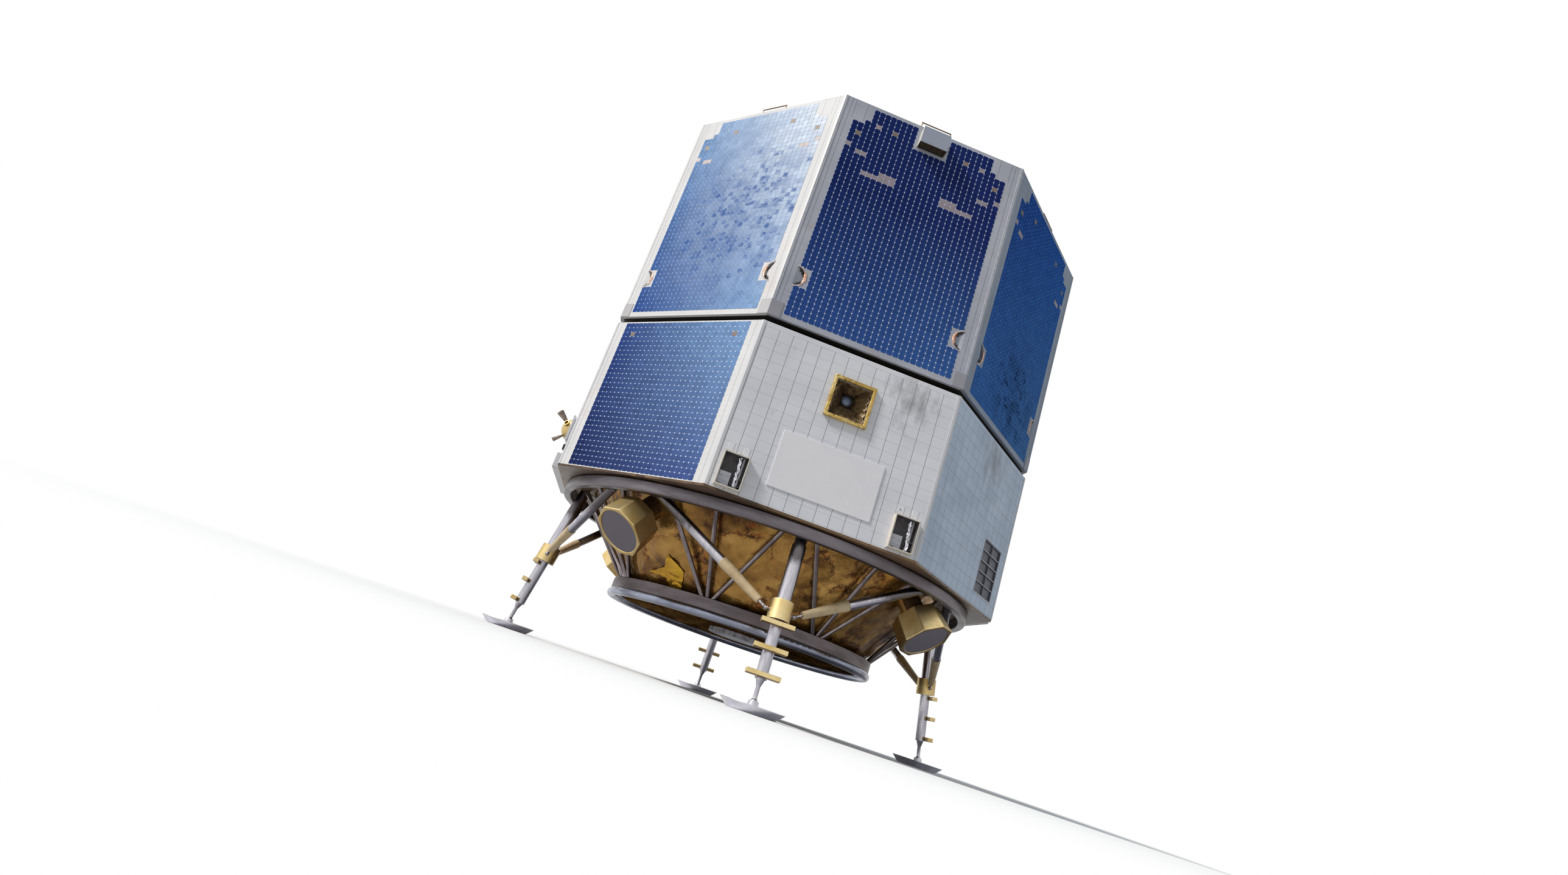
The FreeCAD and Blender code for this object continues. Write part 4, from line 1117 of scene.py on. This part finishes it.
@dataclass
class EquipmentBoxes:
    """Two open boxes low on the window side, with the units and harness in them."""

    along: float = 0.5475
    height: float = 1.246
    inside: tuple[float, float] = (0.072, 0.0985)
    rim_out: float = 0.044
    # each block's place from a box's middle and low inner edge, its size and its finish
    blocks: tuple = (((-0.035, 0.028, 0.0185), (0.066, 0.0022, 0.0025), 0),
                     ((-0.035, 0.058, 0.0185), (0.066, 0.0022, 0.0025), 0),
                     ((-0.056, 0.070, 0.020), (0.022, 0.020, 0.010), 0),
                     ((0.060, 0.020, 0.006), (0.016, 0.012, 0.026), 2),
                     ((0.060, 0.064, 0.006), (0.016, 0.012, 0.026), 2),
                     ((-0.055, -0.001, 0.040), (0.018, 0.012, 0.010), 2),
                     ((0.038, -0.001, 0.040), (0.018, 0.012, 0.010), 2))

    def build(self) -> None:
        """Make the boxes, what is in them, and the patches above them."""
        rounded_node("equipment_boxes", [CREAM_FRAME, BOX_INSIDE], 0.002,
                     choose=self.box_finish)
        dress(PALE_BLOCK, "equipment_fittings")
        for hand, name in ((-1, "left"), (1, "right")):
            self.contents(hand, name)
            self.patches(hand, name)

    def box_finish(self, face: Face) -> int:
        """Dark grey on a box's inner walls and back, and cream elsewhere."""
        place = side_place(face.calc_center_median())[1]
        across, up = abs(abs(place.x) - self.along), abs(place.y - self.height)
        inside = across < self.inside[0] + 0.001 and up < self.inside[1] + 0.001
        return 1 if inside and place.z < self.rim_out else 0

    def contents(self, hand: int, name: str) -> None:
        """Add a box's unit ribs, crumpled strip and clamps."""
        middle = hand * self.along
        low = self.height - self.inside[1]
        bm = bmesh.new()
        for (shift, rise, out), size, finish in self.blocks:
            add_block(bm, (middle + shift, low + rise, out), size, finish)
        strip = add_grid(bm, 4, 26)
        for vert in strip:
            wave = noise.noise(Vector((vert.co.y * 5.0, hand * 3.0, 1.0)))
            wide = 0.017 + 0.008 * noise.noise(Vector((vert.co.y * 9.0, 7.0, hand)))
            crinkle = noise.noise(Vector((vert.co.x * 3.0, vert.co.y * 14.0, hand * 2.0)))
            vert.co = Vector((middle + 0.031 + 0.010 * wave - 0.012 * vert.co.y
                              + vert.co.x * wide, self.height + vert.co.y * 0.190,
                              0.022 + 0.007 * crinkle))
        mark(strip, 1)
        made = piece(f"equipment_contents_{name}", bm, [PALE_BLOCK, SILVER_STRIP, BLACK_OXIDE],
                     20.0, side=0)
        ease_edges(made, 0.0008, 1, 60.0)

    def patches(self, hand: int, name: str) -> None:
        """Add the two pale patches above a box, and the screws of its top flange."""
        middle = hand * self.along
        top = self.height + self.inside[1] + 0.009
        bm = bmesh.new()
        for shift, wide in ((-0.053, 0.034 if hand < 0 else 0.046), (0.046, 0.036)):
            add_block(bm, (middle + shift, top + 0.036, 0.0008), (wide, 0.056, 0.0020))
        if hand > 0:
            add_stud(bm, (middle - 0.053, top + 0.038, 0.0018), 0.0042, 0.003)
        for shift, rise in ((-0.066, 0.011), (-0.048, 0.006), (0.018, 0.006), (0.031, 0.004)):
            add_stud(bm, (middle + shift, top + rise, 0.0), 0.0036, 0.0035)
            add_stud(bm, (middle + shift * 1.02, top + rise + 0.009, 0.0), 0.0022, 0.0025, 6)
        made = piece(f"equipment_patches_{name}", bm, [PAD_PAINT, BLACK_OXIDE], 20.0, side=0)
        ease_edges(made, 0.0006, 1, 60.0)


@dataclass
class Grille:
    """The radiator grille: dark cells, pale strips between its rows and a pale sill."""

    along: float = 0.4015
    height: float = 1.409
    size: tuple[float, float] = (0.322, 0.380)
    rows: int = 5
    bar: float = 0.009

    def build(self) -> None:
        """Make the grille and its strips."""
        rounded_node("radiator_grille", [GRILLE_DARK], 0.0012)
        bm = bmesh.new()
        pitch = (self.size[1] - self.bar) / self.rows
        low = self.height - self.size[1] / 2.0 + self.bar / 2.0
        half = (self.size[0] - self.bar) / 2.0
        for row in range(1, self.rows):
            for hand in (-1, 1):
                add_block(bm, (self.along + hand * half / 2.0, low + row * pitch, 0.0005),
                          (half - self.bar - 0.004, 0.0038, 0.0016))
        add_block(bm, (self.along, low - self.bar, 0.0010), (self.size[0] + 0.006, 0.007, 0.004))
        for hand in (-1, 1):
            add_block(bm, (self.along + hand * (half + self.bar), self.height, 0.0005),
                      (0.003, self.size[1] + 0.004, 0.002))
        piece("grille_strips", bm, [PALE_BLOCK], 20.0, side=1)


@dataclass
class FoilCone:
    """The crushed amber film between the base ring and the lower band."""

    top: tuple[float, float] = (1.378, 1.110)
    low: tuple[float, float] = (0.954, 0.582)
    turns: int = 420
    steps: int = 44
    plate: float = 0.24
    depth: float = 0.013
    # the fine folds beside the left leg: their middle and reach in degrees, number and depth
    folds: tuple = (200.0, 24.0, 90.0, 0.005)
    # the tear: its middle and half width in degrees, middle and half height, lift and crumple
    torn: tuple = (-131.5, 10.0, 0.685, 0.105, 0.014, 0.012)
    tear: tuple = ((0.18, 0.78), (0.84, 0.05), (0.66, -0.98), (0.12, -0.95), (-0.06, -0.5),
                   (-0.96, -0.38), (-0.08, 0.05))

    def build(self) -> None:
        """Make the film and the torn yellow patch on it."""
        self.film()
        self.torn_patch()

    def film(self) -> None:
        """Spin a sloping line into a cone, and crush it but for its two edges."""
        bm = spun((self.low, self.top), self.steps, self.turns)
        bmesh.ops.recalc_face_normals(bm, faces=bm.faces)
        bm.normal_update()
        moves = {v: v.normal * (crease(v.co, self.plate) * self.depth)
                 for v in bm.verts if not v.is_boundary}
        for vert, move in moves.items():
            vert.co += move
        middle, reach, count, deep = self.folds
        for vert in bm.verts:
            turn = math.degrees(math.atan2(vert.co.y, vert.co.x)) % 360.0
            hang = max(0.0, 1.0 - abs(turn - middle) / reach)
            fold = math.sin(math.radians(turn) * count + 3.0 * noise.noise(vert.co * 3.0))
            vert.co.x *= 1.0 + deep * fold * hang
            vert.co.y *= 1.0 + deep * fold * hang
        made = piece("crushed_cone_film", bm, [GOLD_FOIL], 28.0)
        thicken(made, 0.002)
        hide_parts("foil_cone")

    def torn_patch(self) -> None:
        """A loose tear of bright film below the canister, with one long tail."""
        bm = bmesh.new()
        bmesh.ops.create_grid(bm, x_segments=70, y_segments=70, size=1.0)
        away = [f for f in bm.faces if not self.in_tear(f.calc_center_median())]
        bmesh.ops.delete(bm, geom=away, context="FACES")
        slope = (self.top[0] - self.low[0]) / (self.top[1] - self.low[1])
        way, wide, level, tall, lift, crumple = self.torn
        for vert in bm.verts:
            turn = math.radians(way + vert.co.x * wide)
            height = level + vert.co.y * tall
            radius = self.low[0] + (height - self.low[1]) * slope + lift
            radius += crumple * crease(Vector((vert.co.x, vert.co.y, 4.0)) * 0.12, 0.06)
            vert.co = Vector((radius * math.cos(turn), radius * math.sin(turn), height))
        bmesh.ops.recalc_face_normals(bm, faces=bm.faces)
        thicken(piece("torn_yellow_film", bm, [YELLOW_FOIL], 28.0), 0.0015)

    def in_tear(self, point: Vector) -> bool:
        """Say whether a point of the unit square lies inside the tear's ragged outline."""
        across = point.x + 0.05 * noise.noise(Vector((point.x * 4.0, point.y * 4.0, 2.0)))
        inside = False
        for (ax, ay), (bx, by) in zip(self.tear, self.tear[1:] + self.tear[:1]):
            if (ay > point.y) != (by > point.y):
                inside ^= across < ax + (bx - ax) * (point.y - ay) / (by - ay)
        return inside


@dataclass
class BottomPlate:
    """The streaky crushed film under the bottom plate, and the rough drum in its middle."""

    radius: float = 0.966
    hole: float = 0.2
    level: float = 0.4895
    rings: int = 46
    turns: int = 200
    flat_edge: float = 0.03
    hang: float = 0.005
    depth: float = 0.0055

    def build(self) -> None:
        """Spin the film, crush it, and dress the drum."""
        bm = spun(((self.hole, self.level), (self.radius, self.level)), self.rings, self.turns)
        for face in bm.faces:
            if face.normal.z > 0.0:
                face.normal_flip()
        for vert in bm.verts:
            edge = min(1.0, (self.radius - vert.co.to_2d().length) / self.flat_edge)
            streak = Vector((vert.co.x * 2.6, vert.co.y * 0.9, 0.0))
            vert.co.z -= edge * (self.hang + self.depth * crease(streak, 0.2))
        bm.normal_update()
        thicken(piece("crushed_bottom_film", bm, [PLATE_FOIL], 28.0), 0.001)
        rounded_node("bottom_drum", [DRUM_METAL, DRUM_SIDE], 0.003,
                     choose=lambda face: 0 if abs(face.normal.z) > 0.5 else 1)


@dataclass
class Underside:
    """Base ring, foil, truss, lower band and rim, bottom plate and canisters."""

    mouth_out: float = 1.5
    tilt: float = 50.0
    neck_radius: float = 0.080

    def build(self) -> None:
        """Dress the pieces under the deck."""
        dress(BROWN_FOIL, "foil_deck")
        FoilCone().build()
        dress(PLATE_FOIL, "bottom_plate")
        BottomPlate().build()
        rounded_node("base_ring", [RING_STEEL], 0.012, 3)
        rounded_node("lower_band", [BAND_STEEL], 0.004)
        dress(RIM_STEEL, "rim_tube")
        dress(RING_STEEL, "ring_brackets")
        dress(TUBE_METAL, "truss")
        rounded_node("canisters", [GOLD_ANODISED, BROWN_FOIL], 0.006, 3,
                     choose=self.canister_finish)
        dress(DARK_GREY, "canister_apertures")

    def canister_finish(self, face: Face) -> int:
        """Dark film on the round neck behind a canister, and gold on the rest."""
        middle = face.calc_center_median()
        low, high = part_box("canister_apertures")
        tilt = math.radians(self.tilt)
        out = (abs(middle.x) + abs(middle.y)) / math.sqrt(2.0) - self.mouth_out
        aside = (abs(middle.x) - abs(middle.y)) / math.sqrt(2.0)
        rise = middle.z - (low.z + high.z) / 2.0
        above = out * math.sin(tilt) + rise * math.cos(tilt)
        behind = rise * math.sin(tilt) - out * math.cos(tilt)
        return 1 if math.hypot(above, aside) < self.neck_radius + 0.001 and behind > 0.1 else 0


@dataclass
class Legs:
    """Struts, collars, crossbars, side struts and footpads."""

    collar_half: float = 0.0715

    def build(self) -> None:
        """Dress the four legs."""
        for leg in LEGS:
            rounded_node("leg_strut_" + leg, [STRUT_METAL], 0.003)
            rounded_node("footpad_" + leg, [PAD_METAL], 0.003, 3, body="pad_" + leg)
        rounded_node("leg_collars", [GOLD_ANODISED, PIN_STEEL], 0.008, 3, choose=self.pin_finish)
        rounded_node("leg_crossbars", [GOLD_ANODISED], 0.003)
        dress(STRUT_METAL, "side_struts")
        rounded_node("side_strut_sleeves", [GOLD_SLEEVE], 0.003)

    def pin_finish(self, face: Face) -> int:
        """Gold on a collar, and steel on the pins and balls at its sides."""
        middle = face.calc_center_median()
        return 1 if min(abs(middle.x), abs(middle.y)) > self.collar_half else 0


@dataclass(frozen=True)
class Studio:
    """Pale floor, soft key light from the upper left, even fill and the camera."""

    azimuth: float = -97.25
    distance: float = 6.4
    height: float = 0.05
    heading: float = 84.09
    pitch: float = 17.64
    roll: float = -18.86
    lens: float = 18.96
    floor_radius: float = 60.0
    fade: tuple[float, float] = (2.4, 5.2)
    sun: tuple[float, float] = (-164.0, 40.0)
    sun_power: float = 3.3

    def build(self) -> None:
        """Add the floor, the lights and the camera."""
        self.floor()
        self.world()
        self.key()
        self.camera()

    @staticmethod
    def toward(turn: float, rise: float) -> Vector:
        """Return the direction at a turn about the upright axis and a rise, in degrees."""
        turn, rise = math.radians(turn), math.radians(rise)
        return Vector((math.cos(turn) * math.cos(rise), math.sin(turn) * math.cos(rise),
                       math.sin(rise)))

    def floor(self) -> None:
        """A wide pale floor that fades to white far away."""
        bm = bmesh.new()
        bmesh.ops.create_circle(bm, cap_ends=True, segments=96, radius=self.floor_radius)
        bmesh.ops.translate(bm, vec=(0.0, 0.0, -1.0 * MM), verts=bm.verts)
        made = bpy.data.materials.new("pale_studio_floor")
        made.use_nodes = True
        g = Graph(made.node_tree)
        shader = made.node_tree.nodes["Principled BSDF"]
        fade = g.span(g.vector("LENGTH", g.place()), *self.fade, interpolation_type="SMOOTHSTEP")
        shown = g.to_the_eye()
        g.join(shader, {"Base Color": g.mix(shown, "#b4b3b0", "#f4f4f4"), "Roughness": 0.9})
        glow = g.add("Emission", {"Color": (1.0, 1.0, 1.0, 1.0), "Strength": 1.0})
        mixed = g.add("MixShader", {0: g.math("MULTIPLY", fade, shown), 1: shader.outputs[0],
                                    2: glow})
        g.join(made.node_tree.nodes["Material Output"], {"Surface": mixed})
        floor = stand("floor", mesh_of("floor", bm))
        floor.data.materials.append(made)

    def world(self) -> None:
        """White to the eye and in reflections, and a cool even fill for everything else."""
        world = bpy.data.worlds.new("studio")
        world.use_nodes = True
        world.node_tree.nodes.clear()
        g = Graph(world.node_tree)
        fill = g.add("Background", {"Color": (0.84, 0.93, 1.0, 1.0), "Strength": 0.38})
        white = g.add("Background", {"Color": (1.0, 1.0, 1.0, 1.0), "Strength": 1.0})
        mixed = g.add("MixShader", {0: g.to_the_eye(), 1: fill, 2: white})
        g.join(world.node_tree.nodes.new("ShaderNodeOutputWorld"), {"Surface": mixed})
        bpy.context.scene.world = world

    def key(self) -> None:
        """A soft key light from the upper left of the window side."""
        lamp = bpy.data.lights.new("key", "SUN")
        lamp.energy = self.sun_power
        lamp.angle = math.radians(10.0)
        lamp.color = (1.0, 0.975, 0.94)
        key = stand("key", lamp)
        way = self.toward(*self.sun)
        key.rotation_euler = way.to_track_quat("Z", "Y").to_euler()
        key.location = way * 12.0

    def camera(self) -> None:
        """A camera just over the floor, looking up at the lander, and leaning."""
        roll = math.radians(self.roll)
        ahead = self.toward(self.heading, self.pitch)
        level = ahead.cross(Vector(UP)).normalized()
        above = level.cross(ahead)
        right = level * math.cos(roll) - above * math.sin(roll)
        top = above * math.cos(roll) + level * math.sin(roll)
        data = bpy.data.cameras.new("camera")
        data.lens = self.lens
        data.sensor_width = 36.0
        data.clip_end = 200.0
        camera = stand("camera", data)
        turn = math.radians(self.azimuth)
        place = Vector((self.distance * math.cos(turn), self.distance * math.sin(turn),
                        self.height))
        camera.matrix_world = (Matrix.Translation(place)
                               @ Matrix((right, top, -ahead)).transposed().to_4x4())
        bpy.context.scene.camera = camera


def main() -> None:
    """Build every sub-assembly in order, then the studio."""
    logging.basicConfig(level=logging.INFO, format="%(message)s")
    for assembly in (UpperBody(), LowerBody(), Underside(), Legs()):
        LOG.info("building %s", type(assembly).__name__)
        assembly.build()
    Studio().build()
    bpy.context.scene.view_settings.view_transform = "Standard"


if __name__ == "__main__":
    main()
